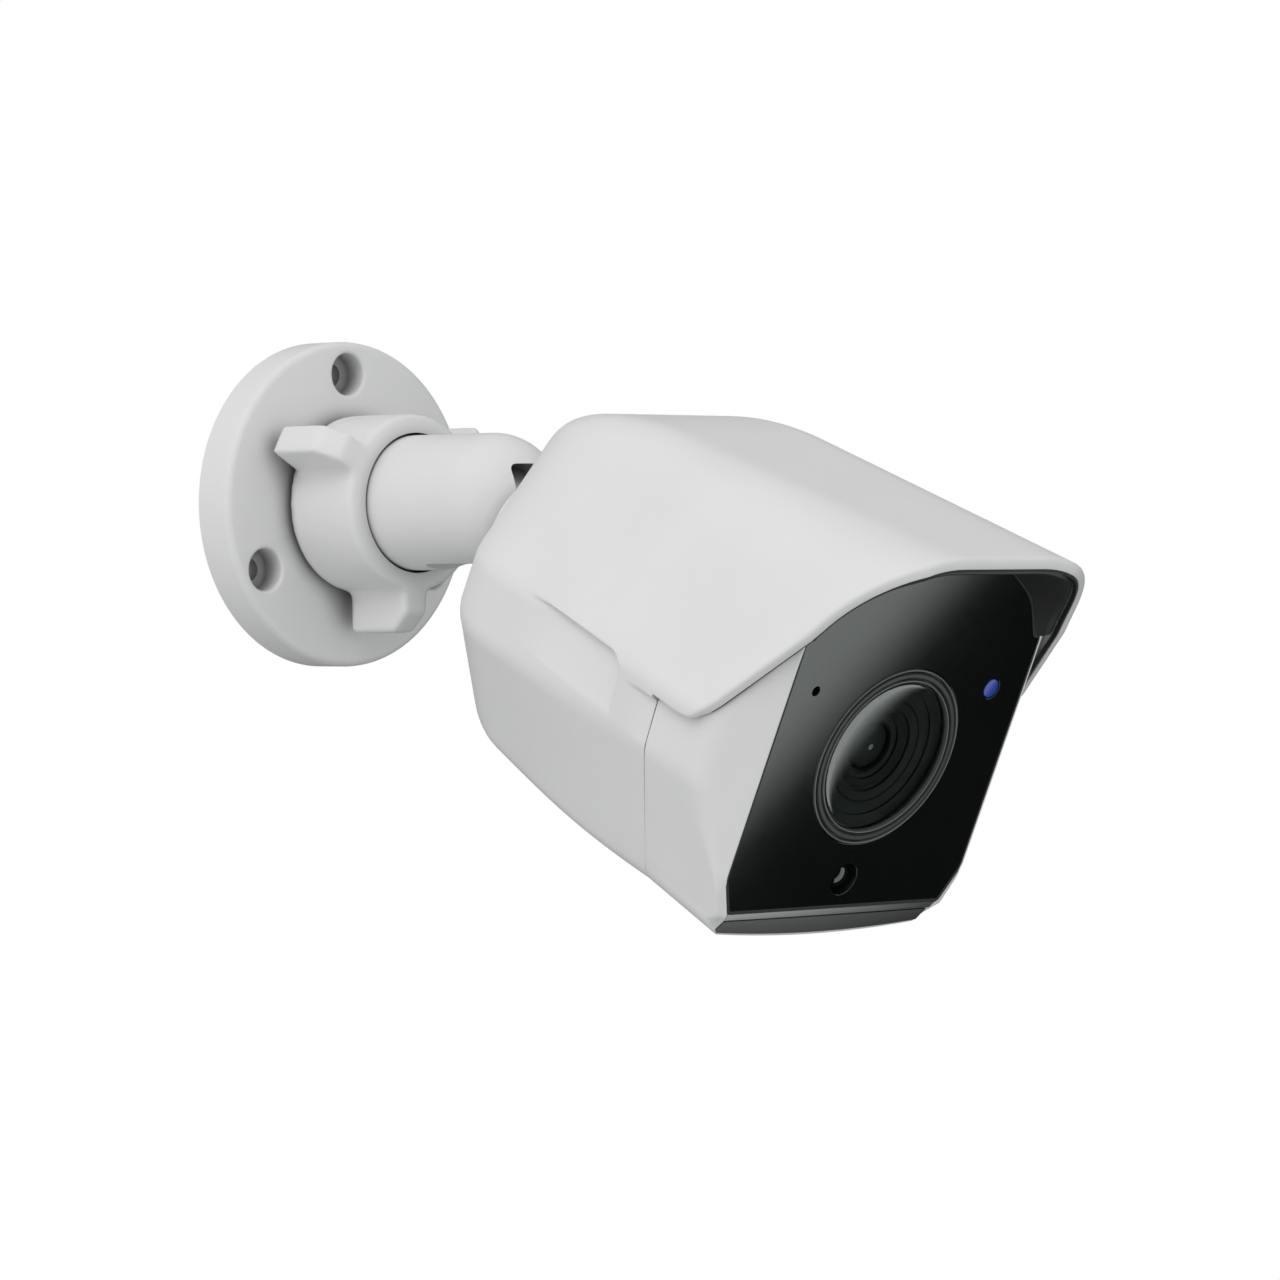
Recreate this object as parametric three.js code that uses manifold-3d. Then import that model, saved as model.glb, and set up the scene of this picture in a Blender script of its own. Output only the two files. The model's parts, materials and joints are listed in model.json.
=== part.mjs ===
// Bullet security camera on a three-axis wall bracket.
// Millimetres, +Z up. The origin is the centre of the bracket's back face, and the arm points along -Y.
import * as THREE from 'three';
import { ConvexGeometry } from 'three/addons/geometries/ConvexGeometry.js';
import { mergeVertices } from 'three/addons/utils/BufferGeometryUtils.js';
import Module from 'manifold-3d';

const wasm = await Module();
wasm.setup();

// ---- Driving dimensions: wall bracket, as distances from the wall unless said otherwise ----
const GAP = 0.3;
const FLANGE = { radius: 35, thickness: 9.7, edge: 1.2, hole: 9 };
const WALL_SCREW = { circle: 28, shank: 2.4, head: 4.6, seat: 4.2, angles: [90, 210, 330] };
const BOSS = { outer: 16.6, inner: 14.8, end: 24 };
const RING = { radius: 19, start: 11.4, end: 30.5, lip: 2.6, lipBore: 14.95, edge: 1.4 };
const LUG = { tip: 27.6, width: 6.8, start: 13.4, chamfer: 3.4, angles: [150, 270, 30] };
const ARM = { radius: 14.4, bore: 8, start: 11.2, collar: 16.4, collarWidth: 2 };
const FORK = { slot: 6, back: 15.5, roof: 7.7, hinge: 54.45 };
const PIN = { radius: 3, headRadius: 5, headWidth: 3, tip: -10.5, head: 12.5 };

// ---- Driving dimensions: camera head, in its own frame. The frame's origin is the tilt hinge, ----
// ---- the lens looks along -Y, and "depth" is measured from the front window towards the lens view ----
const TILT = THREE.MathUtils.degToRad(25.2);
const WINDOW_AT = 122.4;
const BODY = {
  rear: -96.5, seam: -23.5, front: 14, straight: -74, topRound: -60, sideRound: -75, wall: 2.4, rearWall: -92,
};
const HOOD = { lipBottom: 2.8, tipDepth: -10.8, tipHeight: 5, cornerDepth: 3, cornerHeight: 28.8 };
const TONGUE = { radius: 7, half: 5.7 };
const NECK = { radius: 14.4, start: 14.8, spigot: 8.6, bore: 4.2 };
const PANE_THICKNESS = 2.4;
const LINER = { thickness: 1.4, bottom: 26, setback: 1.2 };
const LENS = { ringOuter: 19, ringInner: 16.7, barrel: 12.5, sensorDepth: -33 };
const MIC = { x: -26.8, z: 14.9, radius: 1 };
const STATUS = { x: 24.7, z: 14.4, radius: 2 };
const PHOTOCELL = { x: 0, z: -27.1, radius: 3.2 };
const HATCH = { width: 26, length: 34, depth: -58, border: 4, screwInset: 2.2 };

// ---- Materials ----
function plastic(color, roughness = 0.55) {
  return new THREE.MeshStandardMaterial({ color, roughness, metalness: 0 });
}
function metal(color, roughness = 0.35) {
  return new THREE.MeshStandardMaterial({ color, roughness, metalness: 1 });
}
const shellWhite = plastic(0xe2e3e2, 0.6);
const glossBlack = plastic(0x0d1010, 0.08);
const mattBlack = plastic(0x151617, 0.5);
const rubber = plastic(0x1d1d1e, 0.8);
const boardGreen = plastic(0x1c5a36, 0.5);
const chipBlack = plastic(0x18191b, 0.4);
const glass = plastic(0x27343c, 0.04);
const clearBlue = plastic(0x2b4fc4, 0.2);
const steel = metal(0xb9bcc0);
const aluminium = metal(0xa8abad, 0.45);
const anodised = metal(0x1b1c1e, 0.4);

// ---- Solids ----
function solid(geometry) {
  const bare = geometry.clone();
  bare.deleteAttribute('normal');
  bare.deleteAttribute('uv');
  const merged = mergeVertices(bare, 1e-4);
  const vertProperties = new Float32Array(merged.attributes.position.array);
  const index = merged.index.array;
  const kept = [];
  for (let i = 0; i < index.length; i += 3) {
    const [a, b, c] = [index[i], index[i + 1], index[i + 2]];
    if (a !== b && b !== c && c !== a) {
      kept.push(a, b, c);
    }
  }
  return new wasm.Manifold(new wasm.Mesh({ numProp: 3, vertProperties, triVerts: new Uint32Array(kept) }));
}

function toGeometry(body) {
  const mesh = body.getMesh();
  const geometry = new THREE.BufferGeometry();
  geometry.setAttribute('position', new THREE.BufferAttribute(new Float32Array(mesh.vertProperties), 3));
  geometry.setIndex(new THREE.BufferAttribute(new Uint32Array(mesh.triVerts), 1));
  geometry.computeVertexNormals();
  return geometry;
}

function put(parent, name, body, material) {
  const mesh = new THREE.Mesh(toGeometry(body), material);
  mesh.name = name;
  parent.add(mesh);
  return mesh;
}

// A solid of revolution about the Y axis. Profile points are [radius, distance along -Y].
function turned(profile, sides = 32) {
  const points = profile.map(([radius, along]) => new THREE.Vector2(radius, -along));
  const area = THREE.ShapeUtils.area(points);
  return solid(new THREE.LatheGeometry(area > 0 ? points : points.reverse(), sides));
}

function tube(outer, inner, start, end, sides = 32) {
  return turned([[inner, start], [outer, start], [outer, end], [inner, end], [inner, start]], sides);
}

function rod(radius, start, end, sides = 24) {
  return turned([[0, start], [radius, start], [radius, end], [0, end]], sides);
}

function moved(geometry, x, y, z) {
  return solid(geometry.translate(x, y, z));
}

// A box given by its centre and its size.
function block(x, y, z, width, length, height) {
  return moved(new THREE.BoxGeometry(width, length, height), x, y, z);
}

// A cylinder along Z.
function uprightRod(radius, z0, z1, sides = 12) {
  const geometry = new THREE.CylinderGeometry(radius, radius, z1 - z0, sides).rotateX(Math.PI / 2);
  return moved(geometry, 0, 0, (z0 + z1) / 2);
}

// A cylinder along X.
function crossRod(radius, x0, x1, sides = 24) {
  const geometry = new THREE.CylinderGeometry(radius, radius, x1 - x0, sides).rotateZ(Math.PI / 2);
  return moved(geometry, (x0 + x1) / 2, 0, 0);
}

function hull(points) {
  return solid(new ConvexGeometry(points));
}

function aroundY(body, degrees) {
  return body.rotate([0, degrees, 0]);
}

// ---- Outlines across the camera head. Each lists its right half's corners from the top down, as x, z ----
// ---- and the length of the rounding, and is mirrored. A positive "grow" moves every side outwards. ----
const SHELL = {
  front: [[29.7, 48, 17], [48, 6, 2], [43.3, -8, 2], [31, -39.4, 3.5]],
  rear: [[26.4, 41.6, 15], [42.6, 5.5, 2], [42, -9, 2], [27.4, -35, 3.5]],
};
const INNER = {
  front: [[27.6, 45.2, 15], [43.8, 6, 1.5], [43.3, -8, 2], [31, -39.4, 3.5]],
  rear: [[24.6, 39.2, 13], [40.3, 5.5, 1.5], [40.3, -9, 2], [27.4, -35, 3.5]],
};
const PANE = [[17, 41.5, 3], [27.5, 34.5, 3], [32.2, 26, 0.3], [34.1, 25.6, 0.3], [34.1, -25.6, 1],
  [30.5, -33.1, 0.6]];
const OPENING = [[17.3, 41.8, 3], [27.8, 34.8, 3], [34.4, 26.2, 0.5], [34.4, -25.6, 1], [30.7, -33.4, 0.6]];

function growCorners(corners, grow) {
  return corners.map(({ point, radius }, index) => {
    const before = corners[(index + corners.length - 1) % corners.length].point;
    const after = corners[(index + 1) % corners.length].point;
    const into = point.clone().sub(before).normalize();
    const out = after.clone().sub(point).normalize();
    const normal = new THREE.Vector2(-into.y - out.y, into.x + out.x);
    normal.multiplyScalar(grow / (1 + into.dot(out)));
    return { point: point.clone().add(normal), radius: Math.max(radius + grow, 0.3) };
  });
}

function outline(corners, grow = 0, steps = 3) {
  const right = corners.map(([x, z, radius]) => ({ point: new THREE.Vector2(x, z), radius }));
  const left = [...right].reverse().map(({ point, radius }) => (
    { point: new THREE.Vector2(-point.x, point.y), radius }));
  const grown = growCorners([...right, ...left], grow);
  return grown.flatMap(({ point, radius }, index) => {
    const before = grown[(index + grown.length - 1) % grown.length].point;
    const after = grown[(index + 1) % grown.length].point;
    const start = before.clone().sub(point).setLength(radius).add(point);
    const end = after.clone().sub(point).setLength(radius).add(point);
    return new THREE.QuadraticBezierCurve(start, point, end).getPoints(steps);
  });
}

// How much the rounded rear end shrinks a section that lies beyond the depth where rounding begins.
function rounding(depth, begin, loss) {
  const t = Math.min(Math.max((begin - depth) / (begin - BODY.rear), 0), 1);
  return 1 - loss * (1 - Math.sqrt(1 - t * t));
}

// The head's own outline at one depth: the rear outline blends into the front one along the straight stretch.
function outlineAt(corners, depth, grow) {
  const share = depth / BODY.straight;
  return outline(corners.front.map((corner, index) => corner.map((value, part) => (
    THREE.MathUtils.lerp(value, corners.rear[index][part], share)))), grow);
}

// Points across the head at one depth, drawn in where the rear end is rounded.
function section(points, depth) {
  const side = rounding(depth, BODY.sideRound, 0.58);
  const top = rounding(depth, BODY.topRound, 0.4);
  return points.map(({ x, y }) => (
    new THREE.Vector3(x * side, -(WINDOW_AT + depth), y * (y > 0 ? top : side))));
}

function headHull(corners, depths, grow = 0) {
  return hull(depths.flatMap((depth) => section(outlineAt(corners, depth, grow), depth)));
}

// A plate across the head between two depths, from a mirrored outline.
function plate(points, front, back) {
  const shape = new THREE.Shape(points);
  const geometry = new THREE.ExtrudeGeometry(shape, { depth: front - back, bevelEnabled: false });
  return solid(geometry.rotateX(Math.PI / 2).translate(0, -(WINDOW_AT + back), 0));
}

// A rod along the lens direction, placed off the lens axis, between two depths.
function lensRod(x, z, radius, front, back, sides = 16) {
  return rod(radius, WINDOW_AT + back, WINDOW_AT + front, sides).translate([x, 0, z]);
}

const part = new THREE.Group();
const head = new THREE.Group();
head.position.y = -FORK.hinge;
head.rotation.x = TILT;
part.add(head);

// ---- Wall bracket ----
function wallFlange() {
  const { radius, thickness, edge, hole } = FLANGE;
  const profile = [[hole, 0], [radius, 0], [radius, thickness - edge], [radius - edge, thickness],
    [BOSS.outer, thickness], [BOSS.outer, BOSS.end], [BOSS.inner, BOSS.end], [BOSS.inner, ARM.start - GAP],
    [hole, ARM.start - GAP], [hole, 0]];
  let flange = turned(profile, 64);
  for (const angle of WALL_SCREW.angles) {
    const screw = rod(WALL_SCREW.shank, -1, thickness + 1, 16).add(
      rod(WALL_SCREW.head, WALL_SCREW.seat, thickness + 1, 24));
    const place = THREE.MathUtils.degToRad(angle);
    const x = WALL_SCREW.circle * Math.cos(place);
    const z = WALL_SCREW.circle * Math.sin(place);
    flange = flange.subtract(screw.translate([x, 0, z]));
  }
  return flange;
}

function lockingRing() {
  const { radius, start, end, lip, lipBore, edge } = RING;
  const bore = BOSS.outer + GAP;
  let ring = turned([[bore, start], [radius, start], [radius, end - edge], [radius - edge, end],
    [lipBore, end], [lipBore, end - lip], [bore, end - lip], [bore, start]], 48);
  const half = LUG.width / 2;
  const side = new THREE.Shape();
  side.moveTo(bore + 1, -LUG.start);
  side.lineTo(LUG.tip - 1, -LUG.start);
  side.lineTo(LUG.tip, -LUG.start - 1);
  side.lineTo(LUG.tip, -end + LUG.chamfer);
  side.lineTo(LUG.tip - LUG.chamfer, -end);
  side.lineTo(bore + 1, -end);
  const lug = solid(new THREE.ExtrudeGeometry(side, { depth: LUG.width, bevelEnabled: false })
    .translate(0, 0, -half));
  for (const angle of LUG.angles) {
    ring = ring.add(aroundY(lug, -angle));
  }
  return ring;
}

// The arm's end is rounded about the hinge, and a slot open at the front and below takes the tongue.
function armTube() {
  const { radius, bore, start, collar, collarWidth } = ARM;
  const collarAt = BOSS.end + GAP;
  const profile = [[0, start], [radius, start], [radius, collarAt], [collar, collarAt],
    [collar, collarAt + collarWidth], [radius, collarAt + collarWidth]];
  for (let step = 0; step < 9; step += 1) {
    const turn = (step / 9) * (Math.PI / 2);
    profile.push([radius * Math.cos(turn), FORK.hinge + radius * Math.sin(turn)]);
  }
  profile.push([0, FORK.hinge + radius]);
  const slotLength = FORK.back + radius + 2;
  const slotMiddle = -FORK.hinge + FORK.back - slotLength / 2;
  const slot = block(0, slotMiddle, FORK.roof - 20, 2 * FORK.slot, slotLength, 40);
  const cable = rod(bore, start - 1, FORK.hinge - FORK.back + 1);
  const pinHole = crossRod(PIN.radius + GAP, PIN.tip - GAP, 20);
  const headSeat = crossRod(PIN.headRadius + GAP, PIN.head - PIN.headWidth - GAP, 20);
  return turned(profile, 40).subtract(slot).subtract(cable).subtract(atHinge(pinHole.add(headSeat)));
}

function atHinge(body) {
  return body.translate([0, -FORK.hinge, 0]);
}

function tiltPin() {
  const headStart = PIN.head - PIN.headWidth;
  const socket = crossRod(2, PIN.head - 1.6, PIN.head + 1, 6);
  const pin = crossRod(PIN.radius, PIN.tip, headStart + 1).add(crossRod(PIN.headRadius, headStart, PIN.head));
  return atHinge(pin.subtract(socket));
}

function collarWasher() {
  const start = BOSS.end + GAP + ARM.collarWidth + GAP;
  return tube(ARM.collar, ARM.radius + GAP, start, RING.end - RING.lip - GAP, 40);
}

// ---- Camera head: knuckle and shells ----
function tiltKnuckle() {
  const rearFace = WINDOW_AT + BODY.rear;
  const tongue = crossRod(TONGUE.radius, -TONGUE.half, TONGUE.half, 40).add(
    block(0, -NECK.start / 2, 0, 2 * TONGUE.half, NECK.start + 1, 2 * TONGUE.radius));
  const neck = rod(NECK.radius, NECK.start, rearFace - GAP, 40)
    .add(rod(NECK.spigot, NECK.start, rearFace + 11));
  const groove = tube(NECK.radius - 2.4, NECK.radius - 4.6, rearFace - GAP - 1.2, rearFace + 1);
  const passage = rod(NECK.bore, TONGUE.radius + 1, rearFace + 12, 16);
  const exit = block(0, -TONGUE.radius - 2, -NECK.bore, 2 * NECK.bore, 3.6, 4 * NECK.bore);
  return tongue.add(neck).subtract(groove).subtract(passage).subtract(exit)
    .subtract(crossRod(PIN.radius + GAP, -TONGUE.half - 1, TONGUE.half + 1));
}

function neckSeal() {
  const rearFace = WINDOW_AT + BODY.rear;
  return tube(NECK.radius - 2.7, NECK.radius - 4.3, rearFace - GAP - 0.9, rearFace - GAP, 32);
}

function neckNut() {
  const wallEnd = WINDOW_AT + BODY.rearWall + GAP;
  return rod(13, wallEnd, wallEnd + 5, 6).subtract(rod(NECK.spigot + GAP, wallEnd - 1, wallEnd + 6));
}

const roundedDepths = [BODY.topRound, -68, BODY.sideRound, -79, -84, -88.5, -92, -94.5, -96];

// Everything in front of the housing: below the hood's lip and beyond its slanted front edge, drawn in side
// view. The setback moves the cut towards the wall.
function hoodCut(setback) {
  const at = (depth) => WINDOW_AT + depth - setback;
  const view = new THREE.Shape();
  view.moveTo(at(BODY.seam), -60);
  view.lineTo(at(BODY.seam), HOOD.lipBottom);
  view.lineTo(at(HOOD.tipDepth - 4), HOOD.lipBottom);
  view.quadraticCurveTo(at(HOOD.tipDepth - 1), HOOD.lipBottom, at(HOOD.tipDepth), HOOD.tipHeight);
  view.lineTo(at(HOOD.tipDepth + 2.8), HOOD.tipHeight + 3.8);
  view.lineTo(at(HOOD.cornerDepth), HOOD.cornerHeight);
  view.quadraticCurveTo(at(6.2), 38, at(BODY.front - 1.4), 47.5);
  view.lineTo(at(BODY.front - 1.4), 60);
  view.lineTo(at(40), 60);
  view.lineTo(at(40), -60);
  return solid(new THREE.ExtrudeGeometry(view, { depth: 120, bevelEnabled: false, curveSegments: 6 })
    .translate(0, 0, -60).rotateX(Math.PI / 2).rotateZ(-Math.PI / 2));
}

// The recess along each side, under the hood's lip.
function sideRecess(side) {
  const wedge = (shoulder, ridge, depth) => (
    [[shoulder, 5.2], [52, 5.2], [ridge, -8.4], [52, -8.4]].map(([x, z]) => (
      new THREE.Vector3(side * x, -(WINDOW_AT + depth), z))));
  return hull([...wedge(41.2, 41.9, -60), ...wedge(42.6, 42.8, -34)]);
}

// Holds a flat piece against the head's sloping underside, at the hatch.
function onUnderside(body) {
  const [front, rear] = [SHELL.front[3][1], SHELL.rear[3][1]];
  const height = THREE.MathUtils.lerp(front, rear, HATCH.depth / BODY.straight);
  const slope = THREE.MathUtils.radToDeg(Math.atan((front - rear) / BODY.straight));
  return body.rotate([slope, 0, 0]).translate([0, -(WINDOW_AT + HATCH.depth), height]);
}

const hatchScrews = [-1, 1].map((end) => [0, end * (HATCH.length / 2 - HATCH.screwInset)]);
const screwPosts = [[-36.6, -3], [36.6, -3], [-17, 36.8], [17, 36.8]];

function rearHousing() {
  const outer = headHull(SHELL, [BODY.front, ...roundedDepths, BODY.rear]);
  const hollowDepths = roundedDepths.filter((depth) => depth >= BODY.rearWall);
  const hollow = headHull(INNER, [BODY.seam + 1, ...hollowDepths], -BODY.wall);
  const underHood = headHull(SHELL, [BODY.front + 3, BODY.seam], -BODY.wall);
  let housing = outer.subtract(hollow).subtract(underHood).subtract(hoodCut(0));
  for (const side of [-1, 1]) {
    housing = housing.subtract(sideRecess(side));
  }
  for (const [x, z] of screwPosts) {
    const post = lensRod(x, z, 4, BODY.seam - 2.5, -46).intersect(headHull(INNER, [0, BODY.topRound], -1));
    housing = housing.add(post).subtract(lensRod(x, z, 1.5, BODY.seam + 1, -44));
  }
  const neckHole = rod(NECK.spigot + GAP, WINDOW_AT + BODY.rear - 2, WINDOW_AT + BODY.rear + 12);
  const recess = onUnderside(block(0, 0, 0, HATCH.width + 2 * GAP, HATCH.length + 2 * GAP, 2.6));
  const [width, length] = [HATCH.width - 2 * HATCH.border, HATCH.length - 2 * HATCH.border];
  const opening = onUnderside(block(0, 0, 0, width, length, 12));
  housing = housing.subtract(neckHole).subtract(recess).subtract(opening);
  for (const [x, y] of hatchScrews) {
    housing = housing.subtract(onUnderside(uprightRod(1.3, -6, 6).translate([x, y, 0])));
  }
  return housing;
}

// The black foot of the window, wrapped under the head's lower front edge. The margin makes its seat.
function windowFoot(margin) {
  const edge = [[30.4, -32.9, 0], [30, -35.2, -0.6], [28.9, -39 - margin, -2.8],
    [28.6, -38.6 - margin, -4.6 - margin], [30.2, -33.4 + margin, -2.4 - margin], [30.4, -32.9, -2.4]];
  return hull(edge.flatMap(([x, z, depth]) => [-1, 1].map((side) => (
    new THREE.Vector3(side * (x + margin), -(WINDOW_AT + depth), z)))));
}

function frontCap() {
  const rim = outline(OPENING, 0.8).map(({ x, y }) => new THREE.Vector3(x, -(WINDOW_AT - GAP), y));
  const flank = [[44.4, 3], [43.4, -7.4]].flatMap(([x, z]) => [-x, x].map((w) => new THREE.Vector2(w, z)));
  const foot = [-28.6, 28.6].map((x) => new THREE.Vector2(x, -39));
  const rearEdge = section(outlineAt(INNER, BODY.seam, 0), BODY.seam + GAP);
  const frontEdge = section(outlineAt(INNER, -12, 0), -12);
  const outer = hull([...rearEdge, ...frontEdge, ...section(flank, -8.4), ...section(foot, -3.6), ...rim]);
  const hollow = headHull(INNER, [BODY.seam - 1, -13], -BODY.wall);
  const seat = plate(outline(OPENING), 3, -3.8);
  const aperture = plate(outline(OPENING, -2.6), 3, -14);
  let cap = outer.subtract(hollow).subtract(seat).subtract(aperture).subtract(windowFoot(GAP));
  for (const [x, z] of screwPosts) {
    const boss = lensRod(x, z, 4, -12, BODY.seam + 2.5).intersect(outer);
    cap = cap.add(boss).subtract(lensRod(x, z, 1.5, -14, BODY.seam)).subtract(lensRod(x, z, 2.6, -8, -19));
  }
  return cap;
}

function capScrew([x, z]) {
  return lensRod(x, z, 1.2, -18, -42, 12).add(lensRod(x, z, 2.3, -16.6, -18.7, 16))
    .subtract(lensRod(x, z, 1, -16, -17.6, 6));
}

function housingSeal() {
  const outer = headHull(INNER, [BODY.seam - 1.2, BODY.seam + 1.2], -BODY.wall - GAP);
  const inner = headHull(INNER, [BODY.seam - 2, BODY.seam + 2], -BODY.wall - 1.9);
  return outer.subtract(inner);
}

// ---- Camera head: front window and optics ----
function frontWindow() {
  const holes = [[0, 0, LENS.ringOuter + GAP, 48], [MIC.x, MIC.z, MIC.radius, 12],
    [STATUS.x, STATUS.z, STATUS.radius + GAP, 20], [PHOTOCELL.x, PHOTOCELL.z, PHOTOCELL.radius + GAP, 24]];
  return holes.reduce((pane, [x, z, radius, sides]) => pane.subtract(lensRod(x, z, radius, 2, -6, sides)),
    plate(outline(PANE), 0, -PANE_THICKNESS).add(windowFoot(0)).add(visorLiner()));
}

// The black liner that stands forward from the pane's upper edge, inside the hood.
function visorLiner() {
  const outer = headHull(SHELL, [BODY.front, 0], -BODY.wall - GAP);
  const inside = -BODY.wall - GAP - LINER.thickness;
  const mouth = section(outlineAt(SHELL, BODY.front + 1, inside), BODY.front + 1);
  const root = section(outline(PANE, -1), -0.1);
  const above = block(0, -WINDOW_AT - 20, LINER.bottom + 30, 120, 60, 60);
  return outer.intersect(above).subtract(hull([...mouth, ...root])).subtract(hoodCut(LINER.setback));
}

function windowGasket() {
  return plate(outline(PANE, -0.4), -2.7, -3.5).subtract(plate(outline(PANE, -2.2), 0, -5));
}

function lensRing() {
  return tube(LENS.ringOuter, LENS.ringInner, WINDOW_AT - 2.4, WINDOW_AT + 0.4, 64);
}

function lensGlass() {
  const radius = LENS.ringInner - GAP;
  const at = (depth) => WINDOW_AT + depth;
  return turned([[0, at(-2.2)], [radius, at(-2.2)], [radius, at(-0.9)], [radius * 0.7, at(-0.3)],
    [radius * 0.35, at(0)], [0, at(0.1)]], 64);
}

function lensBarrel() {
  const at = (depth) => WINDOW_AT + depth;
  return turned([[10.9, at(-4)], [LENS.barrel, at(-4)], [LENS.barrel, at(-12)], [9, at(-12)], [9, at(-27)],
    [5.2, at(-27)], [5.2, at(-12)], [6.6, at(-9.6)], [8.4, at(-8)], [10.9, at(-4)]], 40);
}

function lensElement(radius, front, back) {
  const at = (depth) => WINDOW_AT + depth;
  return turned([[0, at(back)], [radius, at(back)], [radius, at(front - 1.2)], [radius * 0.6, at(front - 0.4)],
    [0, at(front)]], 32);
}

function lensMount() {
  const at = -(WINDOW_AT - 27);
  return block(0, at + 0.3, 0, 22, 11, 22).subtract(rod(9 + GAP, WINDOW_AT - 27.5, WINDOW_AT, 32))
    .subtract(rod(6, WINDOW_AT - 40, WINDOW_AT, 24));
}

// ---- Camera head: electronics. A board lies across the head at a depth, front face first. ----
function board(width, height, front, thickness = 1.6, x = 0, z = 0) {
  return block(x, -(WINDOW_AT + front - thickness / 2), z, width, thickness, height);
}

const postPlaces = [[-15.5, -15.5], [15.5, -15.5], [-15.5, 15.5], [15.5, 15.5]];
const spacerPlaces = [[-20, -17], [20, -17], [-20, 17], [20, 17]];
const lampPlaces = [[-22, 24], [22, 24], [-22, -24], [22, -24]];

function lightBoard() {
  return board(58, 56, -7.4, 1.2).subtract(rod(LENS.barrel + 1, WINDOW_AT - 10, WINDOW_AT, 32));
}

function chassis() {
  let frame = board(60, 50, -13.4, 2).subtract(rod(LENS.barrel + 1, WINDOW_AT - 20, WINDOW_AT, 32));
  for (const [x, z] of postPlaces) {
    frame = frame.add(lensRod(x, z, 2.4, -14, LENS.sensorDepth + GAP, 16));
  }
  return frame;
}

function lamp([x, z]) {
  return board(3.6, 3.6, -6, 1.1, x, z).add(lensRod(x, z, 1.5, -5, -6.2, 16));
}

function heatSpreader() {
  let sink = board(44, 40, -39, 2);
  for (const offset of [-16, -8, 8, 16]) {
    sink = sink.add(board(2, 36, -40.5, 5, offset, 0));
  }
  for (const [x, z] of spacerPlaces) {
    sink = sink.subtract(lensRod(x, z, 2.8, -38, -47, 16));
  }
  return sink;
}

function spacer([x, z]) {
  return lensRod(x, z, 2.4, LENS.sensorDepth - 2.2, -47.7, 6);
}

function hatchCover() {
  const inset = 2 * (HATCH.border + 0.4);
  let cover = block(0, 0, 0.55, HATCH.width, HATCH.length, 1).add(
    block(0, 0, 1.4, HATCH.width - inset, HATCH.length - inset, 1.6));
  for (const [x, y] of hatchScrews) {
    cover = cover.subtract(uprightRod(1.3, -3, 3).translate([x, y, 0]));
  }
  return onUnderside(cover);
}

function hatchScrew([x, y]) {
  const shank = uprightRod(1, -0.4, 3.6);
  const crown = uprightRod(1.7, -1.05, -0.25, 16);
  return onUnderside(shank.add(crown).translate([x, y, 0]));
}

function serviceBoard() {
  return onUnderside(block(0, 0, 8.7, 24, 30, 1.2));
}

function cardSlot() {
  const cage = block(-4, 1, 6.9, 13, 15, 1.8).subtract(block(-4, -1, 6.9, 11.2, 15, 0.9));
  return onUnderside(cage);
}

function resetSwitch() {
  return onUnderside(block(7, 2, 6.6, 4.6, 4.6, 2.4).subtract(block(7, 2, 5.9, 2.6, 2.6, 2.4)));
}

function resetButton() {
  return onUnderside(block(7, 2, 5.1, 1.9, 1.9, 2));
}

put(part, 'wall_flange', wallFlange(), shellWhite);
put(part, 'locking_ring', lockingRing(), shellWhite);
put(part, 'arm_tube', armTube(), shellWhite);
put(part, 'collar_washer', collarWasher(), mattBlack);
put(part, 'tilt_pin', tiltPin(), steel);
put(head, 'tilt_knuckle', tiltKnuckle(), shellWhite);
put(head, 'neck_seal', neckSeal(), rubber);
put(head, 'neck_nut', neckNut(), steel);
put(head, 'rear_housing', rearHousing(), shellWhite);
put(head, 'front_cap', frontCap(), shellWhite);
put(head, 'housing_seal', housingSeal(), rubber);
put(head, 'front_window', frontWindow(), glossBlack);
put(head, 'window_gasket', windowGasket(), rubber);
put(head, 'lens_ring', lensRing(), mattBlack);
put(head, 'lens_glass', lensGlass(), glass);
put(head, 'lens_barrel', lensBarrel(), anodised);
put(head, 'lens_front_element', lensElement(5, -10.4, -13.6), glass);
put(head, 'lens_rear_element', lensElement(4.8, -22, -25), glass);
put(head, 'lens_mount', lensMount(), mattBlack);
put(head, 'infrared_filter', lensRod(0, 0, 5.6, -30, -30.6, 24), glass);
put(head, 'image_sensor', board(9, 7, LENS.sensorDepth + 1.2, 0.9), chipBlack);
put(head, 'sensor_board', board(38, 38, LENS.sensorDepth), boardGreen);
put(head, 'chassis', chassis(), aluminium);
put(head, 'light_board', lightBoard(), boardGreen);
lampPlaces.forEach((place, index) => put(head, `infrared_lamp_${index + 1}`, lamp(place), glass));
put(head, 'status_light', lensRod(STATUS.x, STATUS.z, STATUS.radius, 0.2, -7, 20), clearBlue);
put(head, 'microphone', lensRod(MIC.x, MIC.z, 2.4, -3.8, -7, 16), steel);
put(head, 'light_sensor_cover', lensRod(PHOTOCELL.x, PHOTOCELL.z, PHOTOCELL.radius, -1, -2.2, 24), glass);
put(head, 'light_sensor', lensRod(PHOTOCELL.x, PHOTOCELL.z, 1.6, -4, -7, 12), chipBlack);
put(head, 'heat_spreader', heatSpreader(), aluminium);
spacerPlaces.forEach((place, index) => put(head, `board_spacer_${index + 1}`, spacer(place), steel));
put(head, 'main_board', board(58, 46, -48), boardGreen);
put(head, 'processor', board(14, 14, -46.2, 1.5), chipBlack);
put(head, 'power_module', board(22, 14, -50, 9, -14, 8), mattBlack);
put(head, 'network_socket', board(16, 14, -50, 12, 16, 8), steel);
screwPosts.forEach((place, index) => put(head, `cap_screw_${index + 1}`, capScrew(place), steel));
put(head, 'hatch_cover', hatchCover(), shellWhite);
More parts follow.
